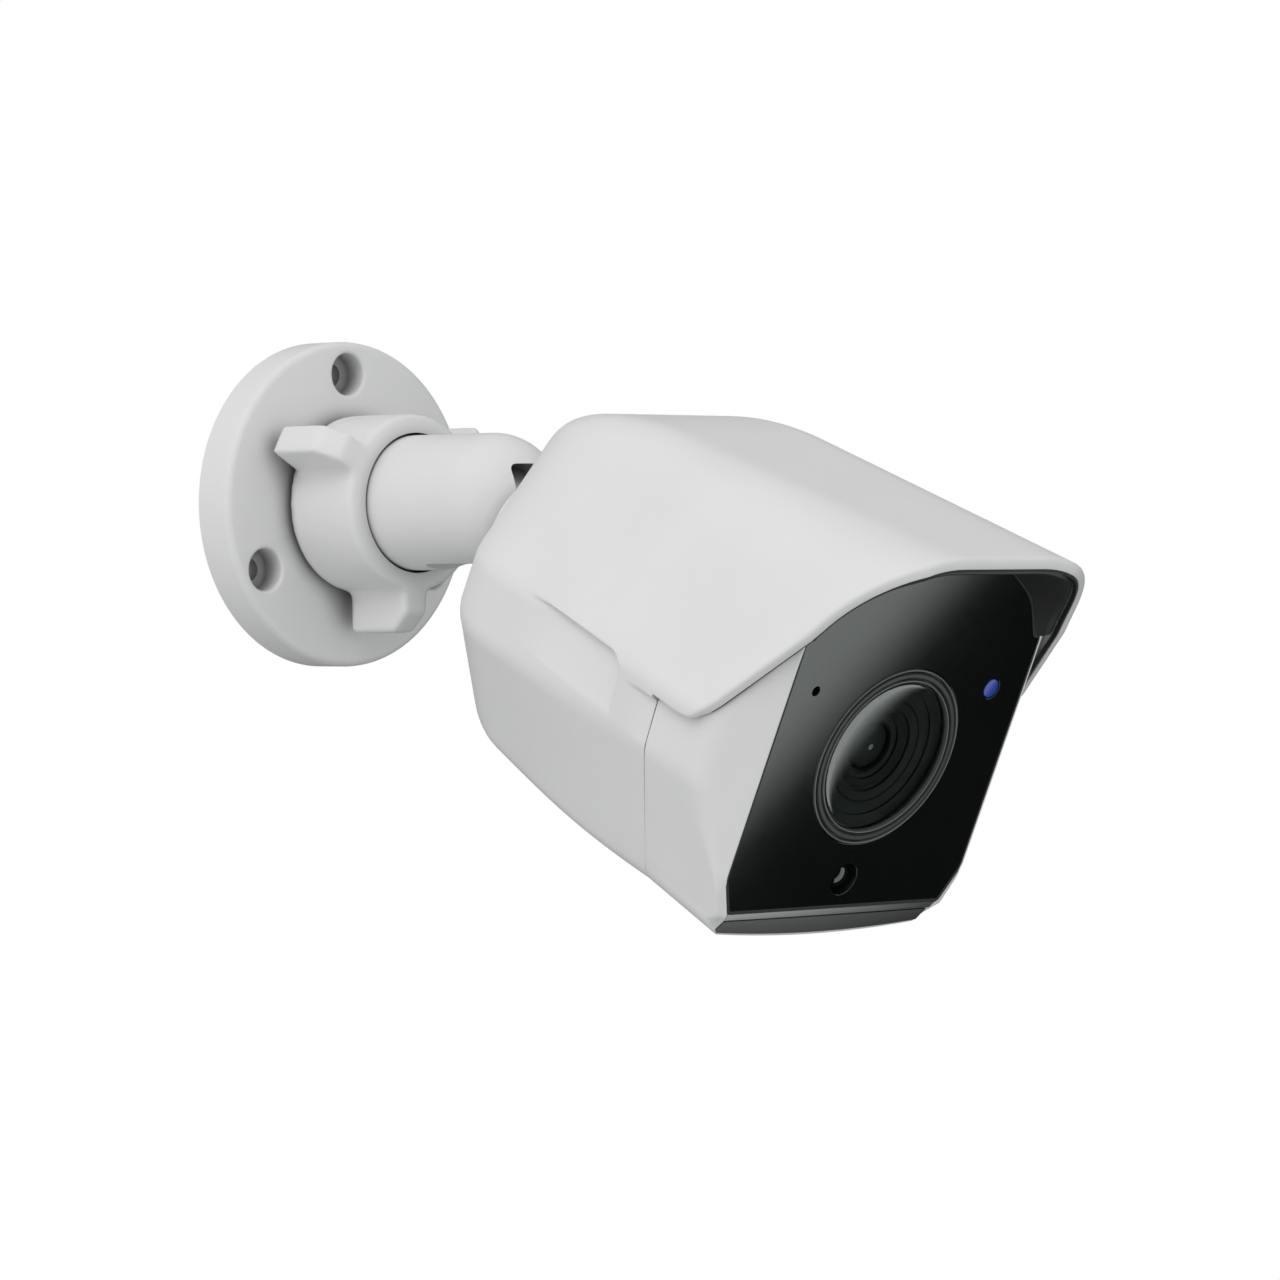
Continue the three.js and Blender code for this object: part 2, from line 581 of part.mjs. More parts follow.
hatchScrews.forEach((place, index) => put(head, `hatch_screw_${index + 1}`, hatchScrew(place), steel));
put(head, 'service_board', serviceBoard(), boardGreen);
put(head, 'card_slot', cardSlot(), steel);
put(head, 'reset_switch', resetSwitch(), mattBlack);
put(head, 'reset_button', resetButton(), plastic(0xd8d8d8));

export default part;
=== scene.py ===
"""The looks of a bullet security camera on its wall bracket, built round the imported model.

Shapes are worked out in millimetres and stored in metres. The camera head has its own frame: x runs across
it, d is the depth in front of the window along the lens direction, and z is the head's own up.
"""

import json
import math
from types import SimpleNamespace as Sizes

import bmesh
import bpy
import numpy as np
from mathutils import Matrix, Vector


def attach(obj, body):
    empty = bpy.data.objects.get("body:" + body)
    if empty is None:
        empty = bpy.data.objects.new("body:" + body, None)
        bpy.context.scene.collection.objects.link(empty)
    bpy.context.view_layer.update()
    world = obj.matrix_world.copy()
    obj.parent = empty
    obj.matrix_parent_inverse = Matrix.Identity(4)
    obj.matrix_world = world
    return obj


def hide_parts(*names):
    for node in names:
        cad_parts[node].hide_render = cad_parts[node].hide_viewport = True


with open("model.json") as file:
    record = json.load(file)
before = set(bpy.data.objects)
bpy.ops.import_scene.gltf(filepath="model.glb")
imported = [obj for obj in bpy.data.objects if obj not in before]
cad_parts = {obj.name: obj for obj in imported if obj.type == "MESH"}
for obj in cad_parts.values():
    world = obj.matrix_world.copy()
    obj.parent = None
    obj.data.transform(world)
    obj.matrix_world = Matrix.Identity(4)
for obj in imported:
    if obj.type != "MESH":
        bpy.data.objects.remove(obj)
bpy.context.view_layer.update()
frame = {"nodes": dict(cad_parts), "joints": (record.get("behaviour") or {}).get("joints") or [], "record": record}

MM = 0.001
GAP = 0.3
MERGE = 1e-4
BEVEL_ANGLE = math.radians(40)
JOINTS = {joint["name"]: joint for joint in frame["joints"]}
HINGE = Vector(JOINTS["head_tilt"]["pos_m"]) / MM
ACROSS = Vector(JOINTS["head_tilt"]["axis"])
LENS_WAY = Vector(JOINTS["head_roll"]["axis"]).normalized()
HEAD_UP = LENS_WAY.cross(ACROSS)
WINDOW_AT = 122.4


# ---- Places: matrices from a part's own millimetres to the row frame's metres ----
def place(x_way, y_way, z_way, origin):
    ways = Matrix([Vector(way) * MM for way in (x_way, y_way, z_way)]).transposed()
    return Matrix.Translation(Vector(origin) * MM) @ ways.to_4x4()


HEAD = place(ACROSS, LENS_WAY, HEAD_UP, HINGE + LENS_WAY * WINDOW_AT)
KNUCKLE = place(ACROSS, LENS_WAY, HEAD_UP, HINGE)
BRACKET = place((1, 0, 0), (0, -1, 0), (0, 0, 1), (0, 0, 0))


# ---- Mesh helpers ----
def linked(name, data):
    """A new object in the scene."""
    thing = bpy.data.objects.new(name, data)
    bpy.context.scene.collection.objects.link(thing)
    return thing


def finish_mesh(name, mesh, matrix, body, material, replaces=(), sharp=35):
    """Merges, turns outwards, smooths and places a mesh, and makes it ride on its body."""
    work = bmesh.new()
    work.from_mesh(mesh)
    bmesh.ops.remove_doubles(work, verts=work.verts, dist=MERGE)
    bmesh.ops.dissolve_degenerate(work, edges=work.edges, dist=MERGE / 10)
    work.transform(matrix)
    bmesh.ops.recalc_face_normals(work, faces=work.faces)
    for face in work.faces:
        face.smooth = True
    work.to_mesh(mesh)
    work.free()
    mesh.set_sharp_from_angle(angle=math.radians(sharp))
    piece = linked(name, mesh)
    mesh.materials.clear()
    mesh.materials.append(material)
    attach(piece, body)
    if replaces:
        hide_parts(*replaces)
    return piece


def raw_mesh(points, faces):
    mesh = bpy.data.meshes.new("raw")
    mesh.from_pydata([tuple(point) for point in points], [], [tuple(face) for face in faces])
    return mesh


def baked(data, modifier=None, **settings):
    """The mesh of a curve, or of a mesh after one modifier."""
    passing = linked("passing", data)
    if modifier:
        step = passing.modifiers.new("step", modifier)
        for name, value in settings.items():
            setattr(step, name, value)
    bpy.context.view_layer.update()
    graph = bpy.context.evaluated_depsgraph_get()
    mesh = bpy.data.meshes.new_from_object(passing.evaluated_get(graph))
    bpy.data.objects.remove(passing)
    return mesh


def combined(mesh, others, operation="DIFFERENCE"):
    """A mesh cut by, or joined with, others."""
    for other in others:
        tool = linked("tool", other)
        mesh = baked(mesh, "BOOLEAN", operation=operation, solver="EXACT", object=tool)
        bpy.data.objects.remove(tool)
    return mesh


def bevelled(mesh, width, segments):
    return baked(mesh, "BEVEL", width=width, segments=segments, limit_method="ANGLE", angle_limit=BEVEL_ANGLE)


def grid_faces(rows, columns, closed=False):
    wrap = columns if closed else columns - 1
    return [
        (i * columns + j, i * columns + (j + 1) % columns,
         (i + 1) * columns + (j + 1) % columns, (i + 1) * columns + j)
        for i in range(rows - 1) for j in range(wrap)
    ]


def turned(profile, sides=128):
    """A solid of revolution about the y axis from (radius, along) points that start and end on the axis or
    close on themselves."""
    points = []
    for radius, along in profile:
        for step in range(sides):
            angle = 2 * math.pi * step / sides
            points.append((radius * math.cos(angle), along, radius * math.sin(angle)))
    mesh = raw_mesh(points, grid_faces(len(profile), sides, closed=True))
    work = bmesh.new()
    work.from_mesh(mesh)
    bmesh.ops.remove_doubles(work, verts=work.verts, dist=MERGE / 10)
    bmesh.ops.recalc_face_normals(work, faces=work.faces)
    work.to_mesh(mesh)
    work.free()
    return mesh


def arc(centre, radius, start, end, steps=5):
    """Points of an arc in a profile, with angles in degrees from the radius direction towards along."""
    turns = np.radians(np.linspace(start, end, steps + 1))
    return [(centre[0] + radius * math.cos(turn), centre[1] + radius * math.sin(turn)) for turn in turns]


def moved(mesh, x=0, y=0, z=0, turn=None):
    if turn is not None:
        mesh.transform(turn)
    mesh.transform(Matrix.Translation((x, y, z)))
    return mesh


def closed_bar(rows):
    """A solid from rows of points that go once round it, closed at both ends of the rows."""
    count = len(rows[0])
    last = (len(rows) - 1) * count
    faces = grid_faces(len(rows), count)
    faces += [(last + j, last + j + 1, j + 1, j) for j in range(count - 1)]
    faces.append(tuple(row * count for row in range(len(rows))))
    faces.append(tuple(row * count + count - 1 for row in reversed(range(len(rows)))))
    return raw_mesh(np.vstack(rows), faces)


def box_mesh(low, high):
    (x0, y0, z0), (x1, y1, z1) = low, high
    points = [(x, y, z) for x in (x0, x1) for y in (y0, y1) for z in (z0, z1)]
    faces = [(0, 1, 3, 2), (4, 6, 7, 5), (0, 4, 5, 1), (2, 3, 7, 6), (0, 2, 6, 4), (1, 5, 7, 3)]
    return raw_mesh(points, faces)


def bezier(start, control, end, steps):
    share = np.linspace(0, 1, steps + 1)[:, None]
    start, control, end = np.array(start, float), np.array(control, float), np.array(end, float)
    return (1 - share) ** 2 * start + 2 * share * (1 - share) * control + share**2 * end


def rounded_path(corners, straights, corner_steps):
    """Points along a path of (x, z, rounding) corners. Each straight and corner has its own number of steps,
    so that paths of one kind match point for point."""
    spots = [np.array(corner[:2], float) for corner in corners]
    path = [spots[0]]
    for index in range(1, len(corners)):
        here = spots[index]
        before = here - spots[index - 1]
        reach = corners[index][2]
        stop = here - before / np.linalg.norm(before) * reach
        share = np.linspace(0, 1, straights[index - 1] + 1)[1:, None]
        path.extend(path[-1] + (stop - path[-1]) * share)
        if reach > 0:
            after = spots[index + 1] - here
            leave = here + after / np.linalg.norm(after) * reach
            path.extend(bezier(stop, here, leave, corner_steps[index - 1])[1:])
    return np.array(path)


def mirrored(half):
    """A closed outline from its right half, which runs from the top centre to the bottom centre."""
    left = half[-2:0:-1] * np.array([-1, 1])
    return np.vstack([half, left])


def smoothstep(value, low, high):
    share = np.clip((value - low) / (high - low), 0, 1)
    return share * share * (3 - 2 * share)


def thick_shell(points, faces, rims, thickness, lip=0.25):
    """A closed solid from an open surface: an inner copy, and rounded rims along the given boundary paths.
    A rim is (vertex path, rounding at each of its vertices)."""
    points = np.array(points, float)
    normals = np.zeros_like(points)
    middles = np.zeros_like(points)
    counts = np.zeros(len(points))
    for face in faces:
        corners = points[list(face)]
        area = np.cross(corners[2] - corners[0], corners[3] - corners[1])
        for vertex in face:
            normals[vertex] += area
            middles[vertex] += corners.mean(0)
            counts[vertex] += 1
    normals /= np.maximum(np.linalg.norm(normals, axis=1), 1e-9)[:, None]
    middles /= np.maximum(counts, 1)[:, None]
    if np.sum(normals * (points - points.mean(0))) < 0:
        normals = -normals
    inner = points - normals * thickness
    solid = [points, inner]
    solid_faces = [tuple(face) for face in faces]
    solid_faces += [tuple(vertex + len(points) for vertex in reversed(face)) for face in faces]
    total = 2 * len(points)
    for path, roundings in rims:
        spots = points[path]
        along = np.roll(spots, -1, 0) - np.roll(spots, 1, 0)
        out = np.cross(along, normals[path])
        out /= np.maximum(np.linalg.norm(out, axis=1), 1e-9)[:, None]
        out[np.sum(out * (spots - middles[path]), axis=1) < 0] *= -1
        size = np.array(roundings, float)[:, None]
        turns = np.radians([22.5, 45, 67.5, 90])
        steps = [(size * math.sin(turn), size * (1 - math.cos(turn))) for turn in turns]
        steps += [(size, thickness - lip), (size - lip * 0.3, thickness - lip * 0.3), (size - lip, thickness)]
        loops = [path]
        for forward, down in steps:
            solid.append(spots + out * forward - normals[path] * down)
            loops.append(list(range(total, total + len(path))))
            total += len(path)
        loops.append([vertex + len(points) for vertex in path])
        for near, far in zip(loops, loops[1:]):
            for index in range(len(path)):
                following = (index + 1) % len(path)
                solid_faces.append((near[index], near[following], far[following], far[index]))
    return raw_mesh(np.vstack(solid), solid_faces)


# ---- Materials ----
NOISE_SPAN = (0.3, 0.7)
CLOUDS = 55.0
GRAIN = 2400.0
BUMP_HEIGHT = 0.00008
STREAKS = (180.0, 180.0, 4200.0)


def new_material(name, roughness, metallic=0.0, **settings):
    material = bpy.data.materials.new(name)
    material.use_nodes = True
    shader = material.node_tree.nodes["Principled BSDF"]
    shader.inputs["Roughness"].default_value = roughness
    shader.inputs["Metallic"].default_value = metallic
    for socket, value in settings.items():
        shader.inputs[socket.replace("_", " ")].default_value = value
    return material, material.node_tree, shader


def bare_material(name):
    """A material with nothing but its output."""
    material = bpy.data.materials.new(name)
    material.use_nodes = True
    tree = material.node_tree
    tree.nodes.clear()
    return material, tree, tree.nodes.new("ShaderNodeOutputMaterial")


def noise(tree, scale, detail=2.0):
    where = tree.nodes.new("ShaderNodeTexCoord")
    texture = tree.nodes.new("ShaderNodeTexNoise")
    texture.inputs["Scale"].default_value = scale
    texture.inputs["Detail"].default_value = detail
    tree.links.new(where.outputs["Object"], texture.inputs["Vector"])
    return texture.outputs["Fac"]


def ramp(tree, source, low, high, low_at=NOISE_SPAN[0], high_at=NOISE_SPAN[1]):
    node = tree.nodes.new("ShaderNodeValToRGB")
    node.color_ramp.elements[0].position = low_at
    node.color_ramp.elements[1].position = high_at
    node.color_ramp.elements[0].color = (*low, 1)
    node.color_ramp.elements[1].color = (*high, 1)
    tree.links.new(source, node.inputs["Fac"])
    return node.outputs["Color"]


def mapped(tree, source, low, high, to_low=0.0, to_high=1.0):
    """A node that maps the range low to high onto another one."""
    node = tree.nodes.new("ShaderNodeMapRange")
    for name, value in (("From Min", low), ("From Max", high), ("To Min", to_low), ("To Max", to_high)):
        node.inputs[name].default_value = value
    tree.links.new(source, node.inputs["Value"])
    return node


def object_x(tree):
    """A point's place along its object's x axis."""
    where = tree.nodes.new("ShaderNodeTexCoord")
    parts = tree.nodes.new("ShaderNodeSeparateXYZ")
    tree.links.new(where.outputs["Object"], parts.inputs["Vector"])
    return parts.outputs["X"]


def roughness_from(tree, shader, source, low, high):
    node = mapped(tree, source, *NOISE_SPAN, low, high)
    tree.links.new(node.outputs["Result"], shader.inputs["Roughness"])


def bump_from(tree, shader, source, strength):
    node = tree.nodes.new("ShaderNodeBump")
    node.inputs["Strength"].default_value = strength
    node.inputs["Distance"].default_value = BUMP_HEIGHT
    tree.links.new(source, node.inputs["Height"])
    tree.links.new(node.outputs["Normal"], shader.inputs["Normal"])


def shade(colour, change):
    return tuple(min(1.0, part * (1 + change)) for part in colour)


def shade_crevices(tree, colour, depth, reach=0.008, closed=0.05, open_at=0.75):
    """Paints shade into a colour: darker in narrow gaps and deep holes, where less light reaches."""
    hidden = tree.nodes.new("ShaderNodeAmbientOcclusion")
    hidden.inputs["Distance"].default_value = reach
    hidden.samples = 8
    curve = ramp(tree, hidden.outputs["AO"], (depth, depth, depth), (1, 1, 1), closed, open_at)
    mix = tree.nodes.new("ShaderNodeMix")
    mix.data_type = "RGBA"
    mix.blend_type = "MULTIPLY"
    mix.inputs["Factor"].default_value = 1.0
    colours = [socket for socket in mix.inputs if socket.type == "RGBA"]
    tree.links.new(colour, colours[0])
    tree.links.new(curve, colours[1])
    return next(socket for socket in mix.outputs if socket.type == "RGBA")


def grained(name, colour, roughness, grain=GRAIN, strength=0.12, variation=0.02, crevice_shade=None, **settings):
    """A moulded plastic, painted or cast surface: faint cloudy colour, fine grain in roughness and bump, and, when
    asked, painted shade in its gaps and holes.
    """
    material, tree, shader = new_material(name, roughness, **settings)
    clouds = noise(tree, CLOUDS, 3.0)
    tint = ramp(tree, clouds, shade(colour, -variation), shade(colour, variation))
    # Painted shade: an ambient occlusion node darkens the colour in gaps and holes.
    if crevice_shade is not None:
        tint = shade_crevices(tree, tint, crevice_shade)
    tree.links.new(tint, shader.inputs["Base Color"])
    fine = noise(tree, grain, 3.0)
    roughness_from(tree, shader, fine, roughness * 0.92, min(1.0, roughness * 1.08))
    bump_from(tree, shader, fine, strength)
    return material


def brushed(name, colour, roughness):
    """Turned or drawn metal: fine streaks in colour and roughness."""
    material, tree, shader = new_material(name, roughness, metallic=1.0)
    where = tree.nodes.new("ShaderNodeTexCoord")
    stretch = tree.nodes.new("ShaderNodeMapping")
    stretch.inputs["Scale"].default_value = STREAKS
    texture = tree.nodes.new("ShaderNodeTexNoise")
    texture.inputs["Scale"].default_value = 1.0
    tree.links.new(where.outputs["Object"], stretch.inputs["Vector"])
    tree.links.new(stretch.outputs["Vector"], texture.inputs["Vector"])
    streaks = texture.outputs["Fac"]
    tint = ramp(tree, streaks, shade(colour, -0.12), shade(colour, 0.08))
    tree.links.new(tint, shader.inputs["Base Color"])
    roughness_from(tree, shader, streaks, roughness * 0.8, roughness * 1.3)
    return material


def clear(name, colour, roughness, ior, variation=0.04):
    """Coated glass or clear resin: see-through ahead, and more of a mirror at a slant."""
    material, tree, output = bare_material(name)
    through = tree.nodes.new("ShaderNodeBsdfTransparent")
    tint = ramp(tree, noise(tree, 120.0), shade(colour, -variation), shade(colour, variation))
    tree.links.new(tint, through.inputs["Color"])
    mirror = tree.nodes.new("ShaderNodeBsdfGlossy")
    mirror.inputs["Roughness"].default_value = roughness
    slant = tree.nodes.new("ShaderNodeFresnel")
    slant.inputs["IOR"].default_value = ior
    side = tree.nodes.new("ShaderNodeNewGeometry")
    front_only = mapped(tree, side.outputs["Backfacing"], 0.0, 1.0, 1.0, 0.0)
    share = tree.nodes.new("ShaderNodeMath")
    share.operation = "MULTIPLY"
    tree.links.new(slant.outputs["Fac"], share.inputs[0])
    tree.links.new(front_only.outputs["Result"], share.inputs[1])
    mix = tree.nodes.new("ShaderNodeMixShader")
    tree.links.new(share.outputs["Value"], mix.inputs["Fac"])
    tree.links.new(through.outputs["BSDF"], mix.inputs[1])
    tree.links.new(mirror.outputs["BSDF"], mix.inputs[2])
    tree.links.new(mix.outputs["Shader"], output.inputs["Surface"])
    return material


def painted_light_fade(name, near, far, roughness, span=0.03, strength=0.08):
    """A dark plastic with painted light: its colour runs from a lighter painted tone to a darker one across the
    part.
    """
    material, tree, shader = new_material(name, roughness)
    spot = mapped(tree, object_x(tree), -span, span)
    tree.links.new(ramp(tree, spot.outputs["Result"], near, far, 0.0, 1.0), shader.inputs["Base Color"])
    bump_from(tree, shader, noise(tree, GRAIN, 3.0), strength)
    return material


WHITE = (0.755, 0.76, 0.757)
BRACKET_GRAIN = 2000.0
# The whites carry painted shade in their gaps and holes, weakest on the bracket and deepest on the arm.
shell_white = grained("shell_white", WHITE, 0.52, strength=0.16, variation=0.012, crevice_shade=0.3)
bracket_white = grained("bracket_white", WHITE, 0.5, BRACKET_GRAIN, variation=0.012, crevice_shade=0.05)
arm_white = grained("arm_white", WHITE, 0.5, BRACKET_GRAIN, variation=0.012, crevice_shade=0.55)
gloss_black = grained("gloss_black", (0.0065, 0.0075, 0.0075), 0.07, grain=300.0, strength=0.0, variation=0.1,
                      IOR=1.5, Coat_Weight=0.25)
satin_black = grained("satin_black", (0.022, 0.023, 0.023), 0.36, strength=0.08, variation=0.1)
liner_black = grained("liner_black", (0.034, 0.035, 0.035), 0.42, strength=0.14, variation=0.08)
# Black rubber for the seals, also used for the strips that paint shadow in the gaps at the hood's and pane's
# edges.
rubber_and_painted_shadow_black = grained("rubber_and_painted_shadow_black", (0.02, 0.02, 0.02), 0.75, strength=0.2, variation=0.1)
ring_black = grained("ring_black", (0.03, 0.032, 0.032), 0.3, strength=0.05, variation=0.06)
element_glass = grained("element_glass", (0.006, 0.008, 0.009), 0.55, strength=0.0, variation=0.1)
# Light grey that paints a glint at the centre of the lens.
painted_glint_grey = grained("painted_glint_grey", (0.4, 0.41, 0.41), 0.3, strength=0.0)
# A lighter grey on the thin trim rings, which paints the highlights that the bezel's edges catch.
trim_highlight_grey = grained("trim_highlight_grey", (0.1, 0.104, 0.102), 0.25, strength=0.03, variation=0.05)
# The sill's colour holds a painted highlight that fades across it.
sill_painted_highlight = painted_light_fade("sill_painted_highlight", (0.6, 0.62, 0.61), (0.1, 0.102, 0.102), 0.3)
# The foot's colour holds painted light and shade: lighter at one side, darker at the other.
foot_painted_light = painted_light_fade("foot_painted_light", (0.15, 0.157, 0.154), (0.075, 0.077, 0.076), 0.5)
board_green = grained("board_green", (0.02, 0.13, 0.06), 0.4, grain=900.0, strength=0.1, variation=0.15)
chip_black = grained("chip_black", (0.02, 0.02, 0.021), 0.5, strength=0.2, variation=0.12)
button_grey = grained("button_grey", (0.55, 0.55, 0.55), 0.5)
sensor_blue = grained("status_blue", (0.016, 0.055, 0.42), 0.3, grain=400.0, variation=0.25, strength=0.03,
                      Coat_Weight=0.15)
steel = brushed("steel", (0.62, 0.63, 0.64), 0.32)
aluminium = brushed("aluminium", (0.55, 0.56, 0.57), 0.42)
anodised = grained("anodised", (0.0085, 0.009, 0.0095), 0.3, strength=0.02, variation=0.1)
barrel_shade = grained("barrel_shade", (0.012, 0.013, 0.013), 0.6, strength=0.0, variation=0.1)
lens_glass = clear("lens_glass", (0.8, 0.83, 0.82), 0.015, 2.1)
inner_glass = clear("inner_glass", (0.75, 0.85, 0.88), 0.01, 1.6)
lamp_glass = clear("lamp_glass", (0.9, 0.9, 0.92), 0.05, 1.5)


# ---- The housing's section: right halves of outlines as (x, z, rounding), from the top centre down ----
BODY = Sizes(rear=-96.5, seam=-23.5, straight=-74.0, wall=2.4, top_round=-60.0, top_loss=0.4,
             side_round=-75.0, side_loss=0.58, belly=0.035, belly_end=-73.0)
FRONT_SECTION = [(0, 48, 0), (29.4, 48, 17), (47.6, 6, 2), (43.3, -8, 2.4), (31, -39.4, 3.5), (0, -39.4, 0)]
REAR_SECTION = [(0, 41.6, 0), (26.4, 41.6, 9), (42.6, 5.5, 2), (42, -9, 2.4), (27.4, -35, 3.5), (0, -35, 0)]
STRAIGHTS = [5, 12, 36, 14, 8]
CORNERS = [16, 12, 8, 8]
BOTTOM_BOW = 1.3
NECK_HOLE = 9.0
NECK_RIM = 0.15
LIP = Sizes(bottom=2.8, level_above=6.0, rounding=0.9)
HOOD_TIP = [(-15.6, LIP.bottom), (-11.4, LIP.bottom), (-10.6, 5.3)]
HOOD_SIDE = (-7.9, 9)
HOOD_BROW = [(3, 28.8), (6.4, 38.2), (12.8, 47.4)]
HOOD_TOP = (13, 50)
HOOD_ROWS = 16
SEAM_ROUNDING = 0.09
SEAM_GAP = 0.16
RECESS = Sizes(rear=-66, front=-34.5, top=6.3, corner=4.0, ridge=-8.0, fade=12, low_fade=0.25,
               out_at_ridge=43.0, floor=40.8, floor_slope=0.06, wall_from=-0.9, wall_to=0.2)
RUN_OUT = Sizes(length=9, end=0.4, full_below=1.7, none_above=2.9)
CAP_SIDE = Sizes(at_ridge=42.9, slope=0.9 / 14)
REAR_STEPS = 30
ROW_STEPS = [(BODY.top_round, -39, 1.5), (-39, -33, 0.5), (-33, -23.7, 0.95)]


def bowed(outline):
    """The underside bulges a little at its middle."""
    under = outline[:, 1] < outline[:, 1].min() + 0.02
    bulge = BOTTOM_BOW * (1 - (outline[:, 0] / np.abs(outline[under, 0]).max()) ** 2)
    outline[under, 1] -= np.clip(bulge[under], 0, None)
    return outline


SECTION_FRONT = mirrored(bowed(rounded_path(FRONT_SECTION, STRAIGHTS, CORNERS)))
SECTION_REAR = mirrored(bowed(rounded_path(REAR_SECTION, STRAIGHTS, CORNERS)))
COLUMNS = len(SECTION_FRONT)


def rounding(depth, begin, loss):
    """How much the rounded rear end shrinks the section at a depth."""
    share = np.clip((begin - depth) / (begin - BODY.rear), 0, 1)
    return 1 - loss * (1 - np.sqrt(1 - share**2))


def cap_side(z):
    """How far out the front cap's side stands, at a height between the ridge and the hood's lip."""
    return CAP_SIDE.at_ridge + (z - RECESS.ridge) * CAP_SIDE.slope


def sunk(x, z, depth):
    """Sinks the side under the hood's edge: a long recess at the middle, and a short run-out at the seam."""
    out = np.abs(x)
    rear, ridge, top, corner = RECESS.rear, RECESS.ridge, RECESS.top, RECESS.corner
    above_ridge = np.clip((z - ridge) / (top - ridge), 0, 1)
    over = depth - (RECESS.front - corner)
    above = z - (top - corner)
    edge = np.hypot(np.maximum(over, 0), np.maximum(above, 0)) + np.minimum(np.maximum(over, above), 0)
    inside = 1 - smoothstep(edge - corner, RECESS.wall_from, RECESS.wall_to)
    inside = inside * smoothstep(depth, rear, rear + RECESS.fade)
    inside = inside * smoothstep(above_ridge, 0, RECESS.low_fade)
    floor = RECESS.floor + (depth - rear) * RECESS.floor_slope
    target = np.minimum(out, RECESS.out_at_ridge * (1 - above_ridge) + floor * above_ridge)
    side = out - (out - target) * inside
    run_out = smoothstep(depth, BODY.seam - RUN_OUT.length, BODY.seam - RUN_OUT.end)
    run_out = run_out * (1 - smoothstep(z, RUN_OUT.full_below, RUN_OUT.none_above))
    run_out = run_out * (z > ridge) * (depth <= BODY.seam)
    side = side - np.maximum(side - cap_side(z), 0) * run_out
    return np.sign(x) * np.where((z < top + 0.3) & (z > ridge), side, out)


def belly(depths):
    """The underside hangs a little lower halfway along than a straight line would."""
    share = np.clip((BODY.seam - depths) / (BODY.seam - BODY.belly_end), 0, 1.25)
    return 1 + BODY.belly * np.sin(share * np.pi)


def housing_points(columns, depths):
    """Points of the housing's outer surface, as x, depth, z, for matching columns and depths."""
    depths = np.asarray(depths, float)
    share = (depths / BODY.straight)[:, None]
    section = SECTION_FRONT[columns] * (1 - share) + SECTION_REAR[columns] * share
    x, z = section[:, 0], section[:, 1]
    x = sunk(x, z, depths)
    side = rounding(depths, BODY.side_round, BODY.side_loss)
    top = rounding(depths, BODY.top_round, BODY.top_loss)
    return np.stack([x * side, depths, z * np.where(z > 0, top, side * belly(depths))], 1)


def hood_edge(heights, inset):
    """Depth of the hood's slanted front edge at each height, moved back by the inset."""
    edge = np.vstack([bezier(*HOOD_TIP, 10), HOOD_SIDE, bezier(*HOOD_BROW, 14), HOOD_TOP]) - [inset, 0]
    share = (LIP.level_above - edge[:, 1]) / (LIP.level_above - LIP.bottom)
    return np.interp(heights, edge[:, 1] + inset * np.clip(share, 0, 1), edge[:, 0])


def front_depths(columns, inset):
    """Where each housing column meets the hood's edge."""
    depths = np.zeros(len(columns))
    for _ in range(6):
        depths = hood_edge(housing_points(columns, depths)[:, 2], inset)
    return depths


def lip_column():
    heights = SECTION_FRONT[: COLUMNS // 2, 1]
    return int(np.argmin(np.abs(heights - (LIP.bottom + LIP.rounding))))


def rear_depths():
    """Depths of the housing's rows up to the seam, closest where the recess ends."""
    turn = np.radians(np.linspace(90, 0, REAR_STEPS)[:-1])
    begin = BODY.top_round
    rounded = begin - (begin - BODY.rear) * np.sin(turn)
    straight = [np.arange(*span) for span in ROW_STEPS]
    return np.concatenate([rounded, *straight, [BODY.seam - SEAM_ROUNDING]])


HOOD_COLUMNS = np.arange(-lip_column(), lip_column() + 1) % COLUMNS


def rear_rows(depths):
    """Rows round the housing, from the neck's hole over the rear end to the seam."""
    rows = [housing_points(np.arange(COLUMNS), np.full(COLUMNS, depth)) for depth in depths]
    end = rows[0]
    reach = np.hypot(end[:, 0], end[:, 2])[:, None]
    hole = end * [1, 0, 1] / reach * NECK_HOLE + [0, BODY.rear, 0]
    return [hole + (end - hole) * share for share in (0, 0.3, 0.6, 0.85)] + rows


def rear_housing():
    """The long shell: a closed tube back from the seam, and the hood ahead of it."""
    depths = rear_depths()
    rows = rear_rows(depths)
    faces = grid_faces(len(rows), COLUMNS, closed=True)
    seam_start = (len(rows) - 1) * COLUMNS
    start, limits = depths[-1], front_depths(HOOD_COLUMNS, LIP.rounding)
    front = [seam_start + HOOD_COLUMNS]
    for step in range(1, HOOD_ROWS + 1):
        rows.append(housing_points(HOOD_COLUMNS, start + (limits - start) * step / HOOD_ROWS))
        front.append(seam_start + COLUMNS + (step - 1) * len(HOOD_COLUMNS) + np.arange(len(HOOD_COLUMNS)))
    for near, far in zip(front, front[1:]):
        faces += list(zip(near[:-1], near[1:], far[1:], far[:-1]))
    lip = lip_column()
    seam_path = [seam_start + column for column in range(lip, COLUMNS - lip + 1)]
    left_edge = [int(row[0]) for row in front[1:-1]]
    brow = [int(vertex) for vertex in front[-1]]
    right_edge = [int(row[-1]) for row in front[-2:0:-1]]
    ease = list(np.linspace(SEAM_ROUNDING, LIP.rounding, len(left_edge)))
    roundings = [SEAM_ROUNDING] * len(seam_path) + ease + [LIP.rounding] * len(brow) + ease[::-1]
    rims = [(seam_path + left_edge + brow + right_edge, roundings),
            (list(range(COLUMNS)), [NECK_RIM] * COLUMNS)]
    return thick_shell(np.vstack(rows), faces, rims, BODY.wall)


